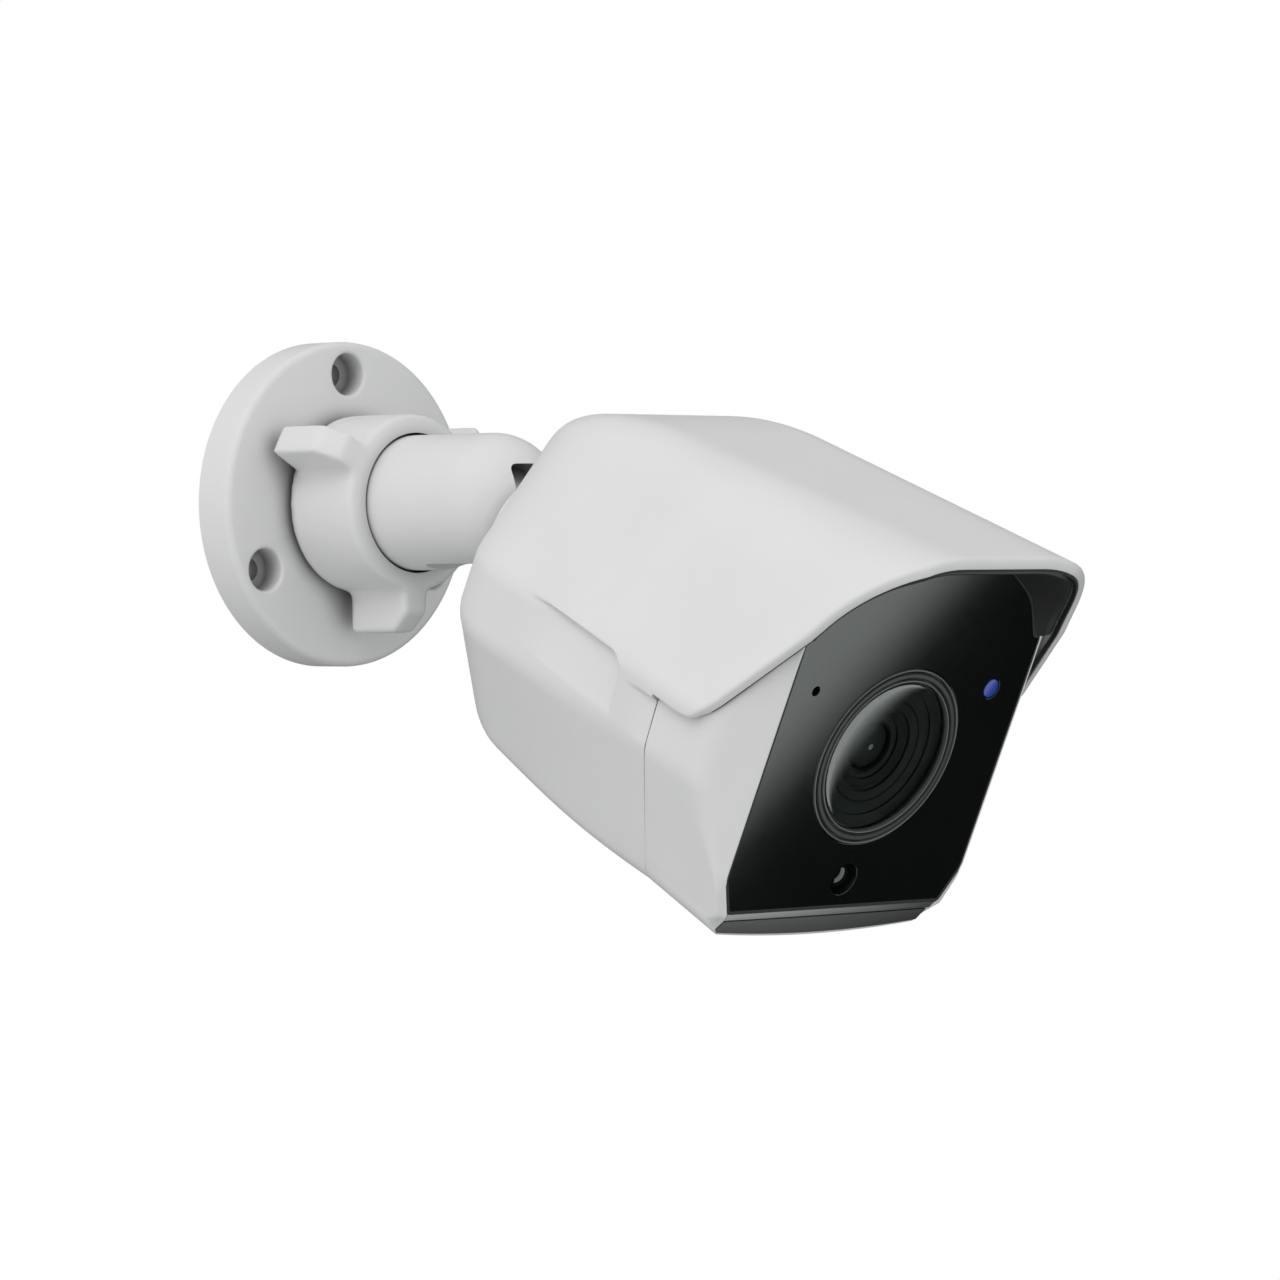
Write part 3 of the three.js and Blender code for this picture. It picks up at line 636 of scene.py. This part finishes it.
# ---- Front cap: from the seam forward to a bevel, and along that to the window's edge ----
CAP_SEAM = [(0, 43.6, 0), (26.7, 43.6, 15), (34.6, 25.5, 1), (43.6, 5.9, 1.5), (42.9, -8.3, 2.4),
            (35.6, -25.2, 1), (32.4, -32.7, 1), (29.87, -38.02, 3.5), (0, -38.02, 0)]
CAP_CREASE = [(0, 45.2, 0), (27.6, 45.2, 15), (35.9, 26.5, 1), (44.2, 6, 1.5), (43.2, -8, 2.4),
              (36.3, -25.6, 1), (33.2, -33.4, 1), (30.8, -39.2, 3.5), (0, -39.2, 0)]
CAP_RIM = [(0, 42.2, 0), (28.2, 35.2, 3), (34.7, 26.3, 1), (34.7, 6, 1), (34.7, -8, 1), (34.7, -25.6, 1),
           (31, -33.4, 1), (29.6, -39.4, 1.6), (0, -39.4, 0)]
CAP_STRAIGHTS = [5, 8, 10, 10, 10, 6, 5, 8]
CAP_CORNERS = [10, 4, 5, 6, 4, 4, 7]
CAP = Sizes(wall=2.0, rim=0.35, slope=0.86, window_half=34.7, reach=3.2, brow_back=3.5)
FOOT_DEPTH = -3.1


def foot_drop(z):
    """The window's edge runs back under the head at the black foot."""
    return FOOT_DEPTH * smoothstep(-z, 33.4, 39.4)


def front_cap():
    """The cap's surface runs from the seam to a rounded crease, and along a bevel to the window's edge."""
    seam, crease, rim = (mirrored(bowed(rounded_path(corners, CAP_STRAIGHTS, CAP_CORNERS)))
                         for corners in (CAP_SEAM, CAP_CREASE, CAP_RIM))
    rim_depth = foot_drop(rim[:, 1]) - CAP.brow_back * smoothstep(rim[:, 1], 26.4, 29)
    crease_depth = np.minimum(rim_depth - 0.5, -CAP.slope * (np.abs(crease[:, 0]) - CAP.window_half))
    crease_depth = np.where(crease[:, 1] > 20, np.minimum(crease_depth, -3), crease_depth)
    low = smoothstep(-crease[:, 1], 34, 39)
    crease_depth = crease_depth * (1 - low) + (rim_depth - 0.6) * low
    seam_depth = np.full(len(seam), BODY.seam + SEAM_GAP + SEAM_ROUNDING)
    back, bend, edge = (np.stack([outline[:, 0], depth, outline[:, 1]], 1) for outline, depth in
                        ((seam, seam_depth), (crease, crease_depth), (rim, rim_depth)))
    flank = np.linalg.norm(edge - bend, axis=1)[:, None]
    reach = np.minimum(CAP.reach, flank * 0.45)
    before = bend + (back - bend) / np.linalg.norm(back - bend, axis=1)[:, None] * reach
    after = bend + (edge - bend) / np.maximum(flank, 1e-6) * reach
    rows = [back + (before - back) * share for share in np.linspace(0, 1, 9)]
    for share in np.linspace(0, 1, 9)[1:]:
        rows.append((1 - share) ** 2 * before + 2 * share * (1 - share) * bend + share**2 * after)
    rows += [after + (edge - after) * share for share in np.linspace(0, 1, 6)[1:]]
    count = len(seam)
    last = (len(rows) - 1) * count
    rims = [([last + column for column in range(count)], [CAP.rim] * count),
            (list(range(count)), [SEAM_ROUNDING] * count)]
    return thick_shell(np.vstack(rows), grid_faces(len(rows), count, closed=True), rims, CAP.wall)


# ---- Window pane, foot and liner ----
PANE = [(0, 41.5, 0), (17, 41.5, 3), (27.5, 34.5, 3), (32.2, 26, 0.3), (34.1, 25.6, 0.3), (34.1, -25.6, 1),
        (30.5, -33.1, 0.6), (0, -33.1, 0)]
PANE_BACK = -2.4
LAMP_AT = (24.7, 14.4)
SENSOR_AT = (0, -27.1)
PANE_HOLES = [(0, 0, 19.3), (-26.8, 14.9, 1.0), (*LAMP_AT, 2.25), (*SENSOR_AT, 3.45)]
# A black strip round the pane that paints the shadow in the gap at its edge.
WINDOW_SHADOW_STRIP = Sizes(front=0.04, back=-2.2, bevel=0.03, outwards=0.45, over_pane=0.3)


def grown(outline, amount):
    """A closed outline with every side moved outwards."""
    along = np.roll(outline, -1, 0) - np.roll(outline, 1, 0)
    normal = np.stack([along[:, 1], -along[:, 0]], 1)
    normal /= np.maximum(np.linalg.norm(normal, axis=1), 1e-9)[:, None]
    outwards = np.sign(np.sum(normal * (outline - outline.mean(0))))
    return outline + normal * amount * outwards


def flat_plate(outline, holes, front, back, bevel, cutouts=()):
    """A plate across the head from a closed outline with round holes and cut-outs, softly bevelled."""
    curve = bpy.data.curves.new("plate", "CURVE")
    curve.dimensions = "2D"
    curve.fill_mode = "BOTH"
    curve.extrude = (front - back) / 2 - bevel
    curve.bevel_depth = bevel
    curve.bevel_resolution = 2
    curve.offset = -bevel
    loops = [outline, *cutouts]
    for x, z, radius in holes:
        turns = np.linspace(0, 2 * np.pi, 24 if radius < 5 else 128, endpoint=False)
        loops.append(np.stack([x + radius * np.cos(turns), z + radius * np.sin(turns)], 1))
    for loop in loops:
        spline = curve.splines.new("POLY")
        spline.points.add(len(loop) - 1)
        for point, (x, z) in zip(spline.points, loop):
            point.co = (x, z, 0, 1)
        spline.use_cyclic_u = True
    mesh = baked(curve)
    mesh.transform(Matrix(((1, 0, 0, 0), (0, 0, 1, (front + back) / 2), (0, 1, 0, 0), (0, 0, 0, 1))))
    return mesh


def pane_outline(straights=(4, 6, 5, 1, 8, 3, 6), corners=(5, 5, 2, 2, 4, 3)):
    return mirrored(rounded_path(PANE, straights, corners))


def front_pane():
    return flat_plate(pane_outline(), PANE_HOLES, 0, PANE_BACK, 0.12)


def window_shadow_strip():
    """A painted shadow: a black strip round the pane, which shows as a thin dark line along its edge where the
    gap's shade falls.
    """
    outline = pane_outline()
    return flat_plate(grown(outline, WINDOW_SHADOW_STRIP.outwards), [], WINDOW_SHADOW_STRIP.front, WINDOW_SHADOW_STRIP.back, WINDOW_SHADOW_STRIP.bevel,
                      [grown(outline, -WINDOW_SHADOW_STRIP.over_pane)])


def swept(profile, steps=24):
    """A bar across the head from (depth, z, half width, sag) points that go once round it."""
    across = np.linspace(-1, 1, steps + 1)
    return closed_bar([np.stack([across * half, np.full(steps + 1, depth), z - sag * (1 - across**2)], 1)
                       for depth, z, half, sag in profile])


def window_sill():
    """The bevel along the pane's lower edge, made bright by a painted highlight in its colour."""
    return swept([(-0.1, -33.2, 30.35, 0), (-0.14, -33.5, 30.3, 0), (-0.75, -35.2, 29.9, 0.1),
                  (-1.0, -35.35, 29.8, 0.1), (-2.3, -34.6, 29.8, 0), (-2.3, -33.2, 30.2, 0)])


def window_foot():
    """The black face that wraps under the head's lower front edge."""
    return swept([(-1.15, -35.75, 29.55, 0.1), (-2.45, -38.8, 29.15, 1.25), (-2.9, -39.02, 29.0, 1.3),
                  (-4.4, -38.4, 28.8, 1.2), (-3.4, -35.6, 29.3, 0.1)])


LINER = Sizes(bottom=27.2, thickness=1.4, setback=1.3, gap=0.35, back=-2.0, soft=0.25)
# A black strip that paints the shadow in the gap along the hood's edge.
HOOD_SHADOW_STRIP = Sizes(overlap=0.15, proud=0.6, setback=0.12, back=1.0)


def hood_inside(columns, depths, inwards):
    """Points inside the hood, at a distance from its outer surface."""
    points = housing_points(columns, depths)
    ahead = housing_points((columns + 1) % COLUMNS, depths)
    behind = housing_points((columns - 1) % COLUMNS, depths)
    along = ahead - behind
    normal = np.stack([-along[:, 2], np.zeros(len(along)), along[:, 0]], 1)
    normal /= np.linalg.norm(normal, axis=1)[:, None]
    outwards = np.sum(normal * points * [1, 0, 1], axis=1) > 0
    normal[outwards] *= -1
    return points + normal * inwards


def liner_columns():
    columns = [column for column in range(-lip_column(), lip_column() + 1)
               if SECTION_FRONT[column % COLUMNS, 1] > LINER.bottom]
    return np.array(columns) % COLUMNS


def pane_match(points):
    """The place on the pane's upper edge that faces each point of the liner's mouth."""
    edge = pane_outline((8, 10, 10, 1, 8, 3, 6), (8, 8, 2, 2, 4, 3))
    angle = np.arctan2(edge[:, 0], edge[:, 1])
    order = np.argsort(angle)
    wanted = np.arctan2(points[:, 0], points[:, 2])
    x = np.interp(wanted, angle[order], edge[order, 0])
    z = np.interp(wanted, angle[order], edge[order, 1])
    return np.stack([x, np.full(len(points), -0.1), z], 1)


def visor_liner():
    """The dark lining under the hood's tip, which narrows back to the pane's upper edge."""
    columns = liner_columns()
    outer_gap = BODY.wall + LINER.gap
    front = front_depths(columns, 0) - LINER.setback
    outer_front = hood_inside(columns, front, outer_gap)
    outer_back = hood_inside(columns, np.full(len(columns), LINER.back), outer_gap)
    mouth = hood_inside(columns, front, outer_gap + LINER.thickness)
    root = pane_match(mouth)
    soft = [0, LINER.soft, 0]
    rows = [outer_back, outer_front - soft]
    rows += [outer_front + (mouth - outer_front) * share for share in (0.25, 0.75)]
    rows += [mouth - soft] + [mouth + (root - mouth) * share for share in np.linspace(0.15, 1, 9)]
    return closed_bar(rows + [root - [0, 1.9, 0]])


def hood_shadow_strip():
    """A painted shadow: a thin black strip just behind the hood's front edge, against its inner face, where the
    gap's shade falls.
    """
    front = front_depths(HOOD_COLUMNS, 0)
    near, far = BODY.wall - HOOD_SHADOW_STRIP.overlap, BODY.wall + HOOD_SHADOW_STRIP.proud
    setback, back = HOOD_SHADOW_STRIP.setback, HOOD_SHADOW_STRIP.back
    spots = [(near, back), (near, setback), (far, setback), (far, back)]
    return closed_bar([hood_inside(HOOD_COLUMNS, front - behind, inwards) for inwards, behind in spots])


# ---- Optics and small front pieces, turned about the lens. Domes are (radius, back, base, crown) ----
LENS_WINDOW = (15.75, -1.1, 0.01, 0.14)
FRONT_ELEMENT = (5.0, -13.2, -5.6, 1.2)
# A small light grey dome at the lens's centre: a painted glint.
PAINTED_GLINT = (0.7, -5.2, -4.5, 0.3)
STATUS_LAMP = (2.0, -6.5, -0.05, 0.2)
SENSOR_DOME = (3.15, -3.2, -3.15, 2.7)
# Thin real rings whose lighter grey paints the highlights along the bezel's edges.
TRIMS = {"outer": (19.1, 18.75), "inner": (16.75, 16.4)}


def domed(radius, back, base, crown, sides=96, steps=11):
    """A disc whose front, from a depth at its edge, is a shallow dome."""
    turns = np.radians(np.linspace(90, 0, steps + 1))[:-1]
    dome = [(radius * math.sin(turn), base + crown * math.cos(turn)) for turn in turns]
    return turned([(0, back), (radius, back), *dome, (0, base + crown)], sides)


def small_dome(radius, back, base, crown, spot=(0, 0)):
    return moved(domed(radius, back, base, crown, 48, 7), x=spot[0], z=spot[1])


def trim_ring(outer, inner, front=0.3, back=-1.2, soft=0.1):
    """A thin ring with softened front edges."""
    low = front - soft
    near = front - soft * 0.3
    return turned([(inner, back), (outer, back), (outer, low), (outer - soft * 0.3, near),
                   (outer - soft, front), (inner + soft, front), (inner + soft * 0.3, near), (inner, low),
                   (inner, back)], 160)


def lens_bezel():
    """A flat ring with a groove along both edges."""
    profile = [(16.4, -2.3), (18.75, -2.3), (18.75, -0.9), (18.4, -0.9), (18.4, -0.05), (18.1, 0.25),
               (17.4, 0.25), (17.1, -0.05), (17.1, -0.9), (16.4, -0.9), (16.4, -2.3)]
    return turned(profile, 160)


def lens_barrel():
    """Stepped rings that narrow towards the lens's front element."""
    steps = [(16.3, -1.3), (16.3, -1.6), (13.9, -2.2), (13.9, -2.5), (11.4, -2.6), (11.1, -2.4), (10.9, -2.6),
             (9.2, -3.1), (9.2, -3.5), (8.6, -3.5), (8.3, -3.3), (8.0, -3.5), (6.9, -4.0), (6.9, -4.4),
             (5.9, -4.5), (5.6, -4.3), (5.3, -4.5), (5.1, -5.2)]
    back = [(5.1, -13.5), (12.5, -13.5), (16.2, -6.0), (16.3, -1.3)]
    return turned([*steps, *back], 128)


# ---- Wall bracket, turned about the arm. "along" is the distance from the wall ----
FLANGE = Sizes(radius=35.0, thickness=9.7, hole=9.0, edge=1.6)
SCREW = Sizes(circle=28.0, shank=2.4, head=4.55, seat=4.2, lip=0.8, angles=(90, 210, 330))
CUT = 2.0
BOSS = Sizes(outer=16.6, inner=14.8, end=24.0, bottom=10.9)
RING = Sizes(radius=19.0, core=10.0, bore=14.95, inside=16.9, start=11.4, end=30.6, lip=2.6, voxel=0.5,
             smoothing=36)
LUG = Sizes(root=13.0, tip=27.8, half=3.4, start=13.0, chamfer=4.4, angles=(150, 270, 30))
ARM = Sizes(radius=14.4, bore=8.0, start=11.2, collar=16.3, collar_end=26.3)
FORK = Sizes(slot=6.0, back=15.5, roof=7.7, hinge=54.45, soft=1.6)
PIN = Sizes(hole=3.3, shaft=3.0, head=5.0, seat=5.3, left=-10.5, step=9.5, right=12.5, socket=2.0)
TONGUE = Sizes(half=5.7, radius=7.0, soft=0.5)
NECK = Sizes(radius=14.4, start=14.8, end=WINDOW_AT + BODY.rear - GAP, inner=8.6, inside=11)
ALONG_X = Matrix.Rotation(math.radians(-90), 4, "Z")


def wall_flange():
    radius, thickness, edge, hole = FLANGE.radius, FLANGE.thickness, FLANGE.edge, FLANGE.hole
    profile = [(hole, 0), (radius - 0.4, 0), (radius, 0.4),
               *arc((radius - edge, thickness - edge), edge, 0, 90, 6), (BOSS.outer, thickness),
               (BOSS.outer, BOSS.end), (BOSS.inner, BOSS.end), (BOSS.inner, BOSS.bottom),
               (hole, BOSS.bottom), (hole, 0)]
    head, seat, lip, shank = SCREW.head, SCREW.seat, SCREW.lip, SCREW.shank
    cutter = [(0, -CUT), (shank, -CUT), (shank, seat), (head, seat),
              *arc((head + lip, thickness - lip), lip, 180, 90, 5), (head + lip, thickness + CUT),
              (0, thickness + CUT)]
    away = SCREW.circle
    cutters = [moved(turned(cutter, 64), x=away * math.cos(turn), z=away * math.sin(turn))
               for turn in np.radians(SCREW.angles)]
    return combined(turned(profile, 192), cutters)


def prism_x(profile, half):
    """A prism across x from an (along, z) outline."""
    count = len(profile)
    points = [(side * half, along, z) for side in (-1, 1) for along, z in profile]
    faces = [tuple(range(count)), tuple(range(2 * count - 1, count - 1, -1))]
    faces += [(i, i + count, (i + 1) % count + count, (i + 1) % count) for i in range(count)]
    return raw_mesh(points, faces)


def softened(mesh, voxel, passes):
    """Remeshes a solid finely and smooths it, which rounds its edges and fills its inner corners."""
    fine = baked(mesh, "REMESH", mode="VOXEL", voxel_size=voxel)
    return baked(fine, "SMOOTH", factor=0.5, iterations=passes)


def locking_ring():
    start, end, radius, core = RING.start, RING.end, RING.radius, RING.core
    low, high = start - 0.4, end + 0.3
    body = turned([(core, low), (radius, low), (radius, high), (core, high), (core, low)], 128)
    root, tip, near, chamfer = LUG.root, LUG.tip, LUG.start, LUG.chamfer
    side = [(near, root), (end, root), (end, tip - chamfer), (end - chamfer, tip), (near, tip)]
    lugs = [moved(prism_x(side, LUG.half), turn=Matrix.Rotation(math.radians(90 - angle), 4, "Y"))
            for angle in LUG.angles]
    solid = softened(combined(body, lugs, "UNION"), RING.voxel, RING.smoothing)
    shoulder = end - RING.lip
    bore = turned([(0, start - 1), (RING.inside, start - 1), (RING.inside, shoulder),
                   (RING.bore, shoulder), (RING.bore, end + 1), (0, end + 1)], 128)
    return combined(solid, [bore])


def rod(radius, start, end, sides=64):
    """A cylinder along y."""
    return turned([(0, start), (radius, start), (radius, end), (0, end)], sides)


def at_hinge(mesh):
    """Turns a solid of revolution about y into one about x, at the arm's hinge."""
    return moved(mesh, y=FORK.hinge, turn=ALONG_X)


def arm_tube():
    radius, hinge, slot_back = ARM.radius, FORK.hinge, FORK.hinge - FORK.back
    collar, collar_start = ARM.collar, BOSS.end + GAP
    profile = [(0, ARM.start), (radius, ARM.start), (radius, collar_start), (collar, collar_start),
               (collar, ARM.collar_end), (radius, ARM.collar_end), *arc((0, hinge), radius, 0, 90, 24)]
    low = (-FORK.slot, slot_back, FORK.roof - 40)
    high = (FORK.slot, hinge + radius + CUT, FORK.roof)
    slot = bevelled(box_mesh(low, high), FORK.soft, 4)
    cable = rod(ARM.bore, 0, slot_back + 1, 96)
    hole = at_hinge(rod(PIN.hole, -10.8, 20))
    seat = at_hinge(rod(PIN.seat, 9.2, 20))
    return combined(turned(profile, 160), [slot, cable, hole, seat])


def tilt_pin():
    left, step, right, head = PIN.left, PIN.step, PIN.right, PIN.head
    profile = [(0, left), (PIN.shaft, left), (PIN.shaft, step), (head, step), (head, right - 0.3),
               (head - 0.3, right), (0, right)]
    socket = rod(PIN.socket, right - 1.6, right + 1.5, 6)
    return combined(at_hinge(turned(profile, 64)), [at_hinge(socket)])


def tilt_knuckle():
    """A rounded tongue between the fork's cheeks, and a neck that carries the head. y runs along the lens."""
    half, radius, soft = TONGUE.half, TONGUE.radius, TONGUE.soft
    tongue = moved(turned([(0, -half), (radius - soft, -half), (radius, -half + soft), (radius, half - soft),
                           (radius - soft, half), (0, half)], 96), turn=ALONG_X)
    wide, start, end, inner, inside = NECK.radius, NECK.start, NECK.end, NECK.inner, NECK.inside
    stem = bevelled(box_mesh((-half, 0, -radius), (half, start + 1, radius)), soft, 3)
    neck = [(0, start), (wide - 1, start), *arc((wide - 1, start + 1), 1, -90, 0, 5), (wide, end - 0.8),
            (wide - 0.5, end), (inner, end), (inner, end + inside), (0, end + inside)]
    solid = combined(tongue, [stem, turned(neck, 128)], "UNION")
    return combined(solid, [moved(rod(PIN.hole, -7, 7), turn=ALONG_X)])


# ---- Underside hatch ----
HATCH = Sizes(width=26.0, length=34.0, depth=-58.0, corner=3.0, outer=0.1, inner=1.5, soft=0.2,
              screw_inset=4.0, pocket_out=-3.0, pocket_in=1.7)
HATCH_SCREW = [(0, -1), (2.6, -1), (1.7, 0.9), (0, 0.9)]


def underside():
    """Places a flat piece, whose z points into the head, on the sloping underside."""
    under = np.full(1, COLUMNS // 2)
    ends = [housing_points(under, [HATCH.depth + offset])[0, 2] for offset in (-1.0, 1.0)]
    height = sum(ends) / 2
    tilt = Matrix.Rotation(math.atan((ends[1] - ends[0]) / 2), 4, "X")
    return HEAD @ Matrix.Translation((0, HATCH.depth, height)) @ tilt


def rounded_slab(width, length, low, high, corner, soft):
    x, y = width / 2, length / 2
    corners = [(0, y, 0), (x, y, corner), (x, -y, corner), (0, -y, 0)]
    outline = mirrored(rounded_path(corners, [3, 6, 3], [6, 6]))
    slab = flat_plate(outline, [], high, low, soft)
    slab.transform(Matrix(((1, 0, 0, 0), (0, 0, 1, 0), (0, 1, 0, 0), (0, 0, 0, 1))))
    return slab


def hatch_cover():
    cover = rounded_slab(HATCH.width, HATCH.length, HATCH.outer, HATCH.inner, HATCH.corner,
                         HATCH.soft)
    turn = Matrix.Rotation(math.radians(90), 4, "X")
    reach = HATCH.length / 2 - HATCH.screw_inset
    return combined(cover, [moved(turned(HATCH_SCREW, 48), y=side * reach, turn=turn) for side in (-1, 1)])


# ---- Build ----
def head_piece(name, mesh, material, replaces=(), sharp=35):
    finish_mesh(name, mesh, HEAD, "head", material, replaces, sharp)


def add_housing():
    pocket = rounded_slab(HATCH.width + 2 * GAP, HATCH.length + 2 * GAP, HATCH.pocket_out,
                          HATCH.pocket_in, HATCH.corner, 0.1)
    pocket.transform(HEAD.inverted() @ underside())
    head_piece("housing_shell", combined(rear_housing(), [pocket]), shell_white,
               ["rear_housing"], 32)
    head_piece("cap_shell", front_cap(), shell_white, ["front_cap"], 32)
    finish_mesh("hatch_lid", hatch_cover(), underside(), "head", shell_white, ["hatch_cover"])


def add_window():
    head_piece("window_pane", front_pane(), gloss_black, ["front_window"], 8)
    head_piece("window_sill", window_sill(), sill_painted_highlight, sharp=50)
    head_piece("window_foot", window_foot(), foot_painted_light, sharp=50)
    head_piece("window_shadow_strip", window_shadow_strip(), rubber_and_painted_shadow_black)
    head_piece("hood_shadow_strip", hood_shadow_strip(), rubber_and_painted_shadow_black)
    head_piece("visor_liner", visor_liner(), liner_black)


def add_optics():
    head_piece("lens_bezel", lens_bezel(), ring_black, ["lens_ring"], 25)
    for name, (outer, inner) in TRIMS.items():
        head_piece("lens_trim_" + name, trim_ring(outer, inner), trim_highlight_grey, sharp=25)
    head_piece("lens_window", domed(*LENS_WINDOW, 128), lens_glass, ["lens_glass"], 25)
    head_piece("lens_rings", lens_barrel(), barrel_shade, ["lens_barrel"], 25)
    head_piece("front_element", domed(*FRONT_ELEMENT), element_glass,
               ["lens_front_element"], 25)
    head_piece("painted_glint", small_dome(*PAINTED_GLINT), painted_glint_grey)
    head_piece("status_lamp", small_dome(*STATUS_LAMP, LAMP_AT), sensor_blue,
               ["status_light"], 30)
    head_piece("sensor_dome", small_dome(*SENSOR_DOME, SENSOR_AT), gloss_black,
               ["light_sensor_cover"], 30)


def add_bracket():
    for name, mesh, body, material, replaced, sharp in (
            ("flange_disc", wall_flange(), "bracket", bracket_white, "wall_flange", 30),
            ("ring_nut", locking_ring(), "ring", bracket_white, "locking_ring", 40),
            ("arm", arm_tube(), "arm", arm_white, "arm_tube", 30)):
        finish_mesh(name, mesh, BRACKET, body, material, [replaced], sharp)
    finish_mesh("hinge_screw", tilt_pin(), BRACKET, "arm", steel, ["tilt_pin"], 30)
    finish_mesh("knuckle", tilt_knuckle(), KNUCKLE, "knuckle", arm_white,
                ["tilt_knuckle"], 30)


SLOT_LOOKS = {
    "shell_white": shell_white, "bracket_white": bracket_white, "window_black": gloss_black,
    "trim_black": satin_black, "seal_black": rubber_and_painted_shadow_black, "optical_glass": inner_glass,
    "lamp_lens": lamp_glass, "status_blue": sensor_blue, "barrel_black": anodised, "board_green": board_green,
    "chip_black": chip_black, "steel": steel, "aluminium": aluminium, "button_grey": button_grey,
}


def dress_nodes():
    """Gives every carried-over node the look of its slot in the record."""
    slots = {row["node"]: row["material_slot"] for row in frame["record"]["subparts"]}
    for name, node in frame["nodes"].items():
        node.data.materials.clear()
        node.data.materials.append(SLOT_LOOKS[slots[name]])


# ---- Stage: camera, floor, backdrop and light ----
CAMERA = {"focal": 168.24, "azimuth": -45.359, "elevation": 0.593, "roll": -0.473, "distance": 1.29641,
          "right": 0.069465, "up": -0.029278}
FLOOR_AT = -0.32
STAGE_SIZE = 9
KEY_FROM = Vector((-0.68, -0.28, 0.68)).normalized()
KEY = Sizes(strength=0.75, angle=math.radians(35))
SKY = {0.1: (0.15, 0.17, 0.165), 0.5: (0.79, 0.79, 0.79)}
SOFTBOX = Sizes(window=(0, -0.1652, -0.0521), toward=(0.739, -0.406, -0.538),
                level=(-0.485, -0.875, -0.007), distance=0.4, fade_from=0.009, fade_to=0.027, strength=1.8,
                high=0.35, half=0.4, colour=(0.93, 1.0, 0.965))


def add_camera():
    azimuth, elevation, roll = (math.radians(CAMERA[key]) for key in ("azimuth", "elevation", "roll"))
    back = Vector((math.sin(azimuth) * math.cos(elevation), -math.cos(azimuth) * math.cos(elevation),
                   math.sin(elevation)))
    level = Vector((math.cos(azimuth), math.sin(azimuth), 0))
    upright = back.cross(level)
    right = level * math.cos(roll) + upright * math.sin(roll)
    up = upright * math.cos(roll) - level * math.sin(roll)
    spot = right * CAMERA["right"] + up * CAMERA["up"] + back * CAMERA["distance"]
    data = bpy.data.cameras.new("camera")
    data.lens = CAMERA["focal"]
    data.sensor_width = 36.0
    data.clip_end = 60.0
    camera = linked("camera", data)
    camera.matrix_world = Matrix.Translation(spot) @ Matrix((right, up, back)).transposed().to_4x4()
    bpy.context.scene.camera = camera


def glow_material(name, colour, strength=1.0):
    material, tree, output = bare_material(name)
    glow = tree.nodes.new("ShaderNodeEmission")
    glow.inputs["Color"].default_value = (*colour, 1)
    glow.inputs["Strength"].default_value = strength
    tree.links.new(glow.outputs["Emission"], output.inputs["Surface"])
    return material, tree, glow


def staged(name, mesh, material):
    piece = linked(name, mesh)
    mesh.materials.append(material)
    return piece


def add_backdrop():
    """A pale floor and a pale dome that only the camera sees, so that they don't tint the light."""
    pale = glow_material("pale", (1, 1, 1))[0]
    corners = [(x * STAGE_SIZE, y * STAGE_SIZE, FLOOR_AT) for x, y in ((-1, -1), (1, -1), (1, 1), (-1, 1))]
    floor = staged("floor", raw_mesh(corners, [(0, 1, 2, 3)]), pale)
    work = bmesh.new()
    bmesh.ops.create_icosphere(work, subdivisions=4, radius=STAGE_SIZE)
    mesh = bpy.data.meshes.new("dome")
    work.to_mesh(mesh)
    work.free()
    dome = staged("dome", mesh, pale)
    for piece in (floor, dome):
        piece.visible_diffuse = False
        piece.visible_glossy = False
        piece.visible_transmission = False
        piece.visible_shadow = False


def add_softbox():
    """A glowing card that only mirrors see. The window shows its soft edge as a slanting band of light."""
    material, tree, glow = glow_material("softbox", SOFTBOX.colour)
    fade = mapped(tree, object_x(tree), SOFTBOX.fade_from, SOFTBOX.fade_to, 0.0, SOFTBOX.strength)
    fade.interpolation_type = "SMOOTHSTEP"
    tree.links.new(fade.outputs["Result"], glow.inputs["Strength"])
    high, half = SOFTBOX.high, SOFTBOX.half
    card = staged("softbox", raw_mesh([(0, -half, 0), (high, -half, 0), (high, half, 0), (0, half, 0)],
                                      [(0, 1, 2, 3)]), material)
    window = Vector(SOFTBOX.window)
    toward = Vector(SOFTBOX.toward).normalized()
    level = Vector(SOFTBOX.level)
    across = (level - toward * level.dot(toward)).normalized()
    card.matrix_world = Matrix.Translation(window + toward * SOFTBOX.distance) @ Matrix(
        (across, toward.cross(across), toward)).transposed().to_4x4()
    card.visible_camera = False
    card.visible_diffuse = False
    card.visible_shadow = False


def add_world():
    """A soft sky: brightest to the upper left of the camera, darker to the lower right."""
    world = bpy.data.worlds.new("studio")
    bpy.context.scene.world = world
    world.use_nodes = True
    tree = world.node_tree
    background = tree.nodes["Background"]
    where = tree.nodes.new("ShaderNodeTexCoord")
    toward = tree.nodes.new("ShaderNodeVectorMath")
    toward.operation = "DOT_PRODUCT"
    toward.inputs[1].default_value = KEY_FROM
    tree.links.new(where.outputs["Generated"], toward.inputs[0])
    span = mapped(tree, toward.outputs["Value"], -1.0, 1.0)
    (dark_at, dark), (light_at, light) = SKY.items()
    sky = ramp(tree, span.outputs["Result"], dark, light, dark_at, light_at)
    tree.links.new(sky, background.inputs["Color"])
    background.inputs["Strength"].default_value = 1.0
    world.cycles_visibility.glossy = False


def add_key():
    """A broad soft light from the upper left, behind the camera."""
    data = bpy.data.lights.new("key", "SUN")
    data.energy = KEY.strength
    data.angle = KEY.angle
    light = linked("key", data)
    light.rotation_mode = "QUATERNION"
    light.rotation_quaternion = KEY_FROM.to_track_quat("Z", "Y")
    light.visible_glossy = False


def add_stage():
    add_camera()
    add_backdrop()
    add_world()
    add_softbox()
    add_key()


add_stage()
dress_nodes()
add_housing()
add_window()
add_optics()
add_bracket()
bpy.context.scene.view_settings.view_transform = "Standard"
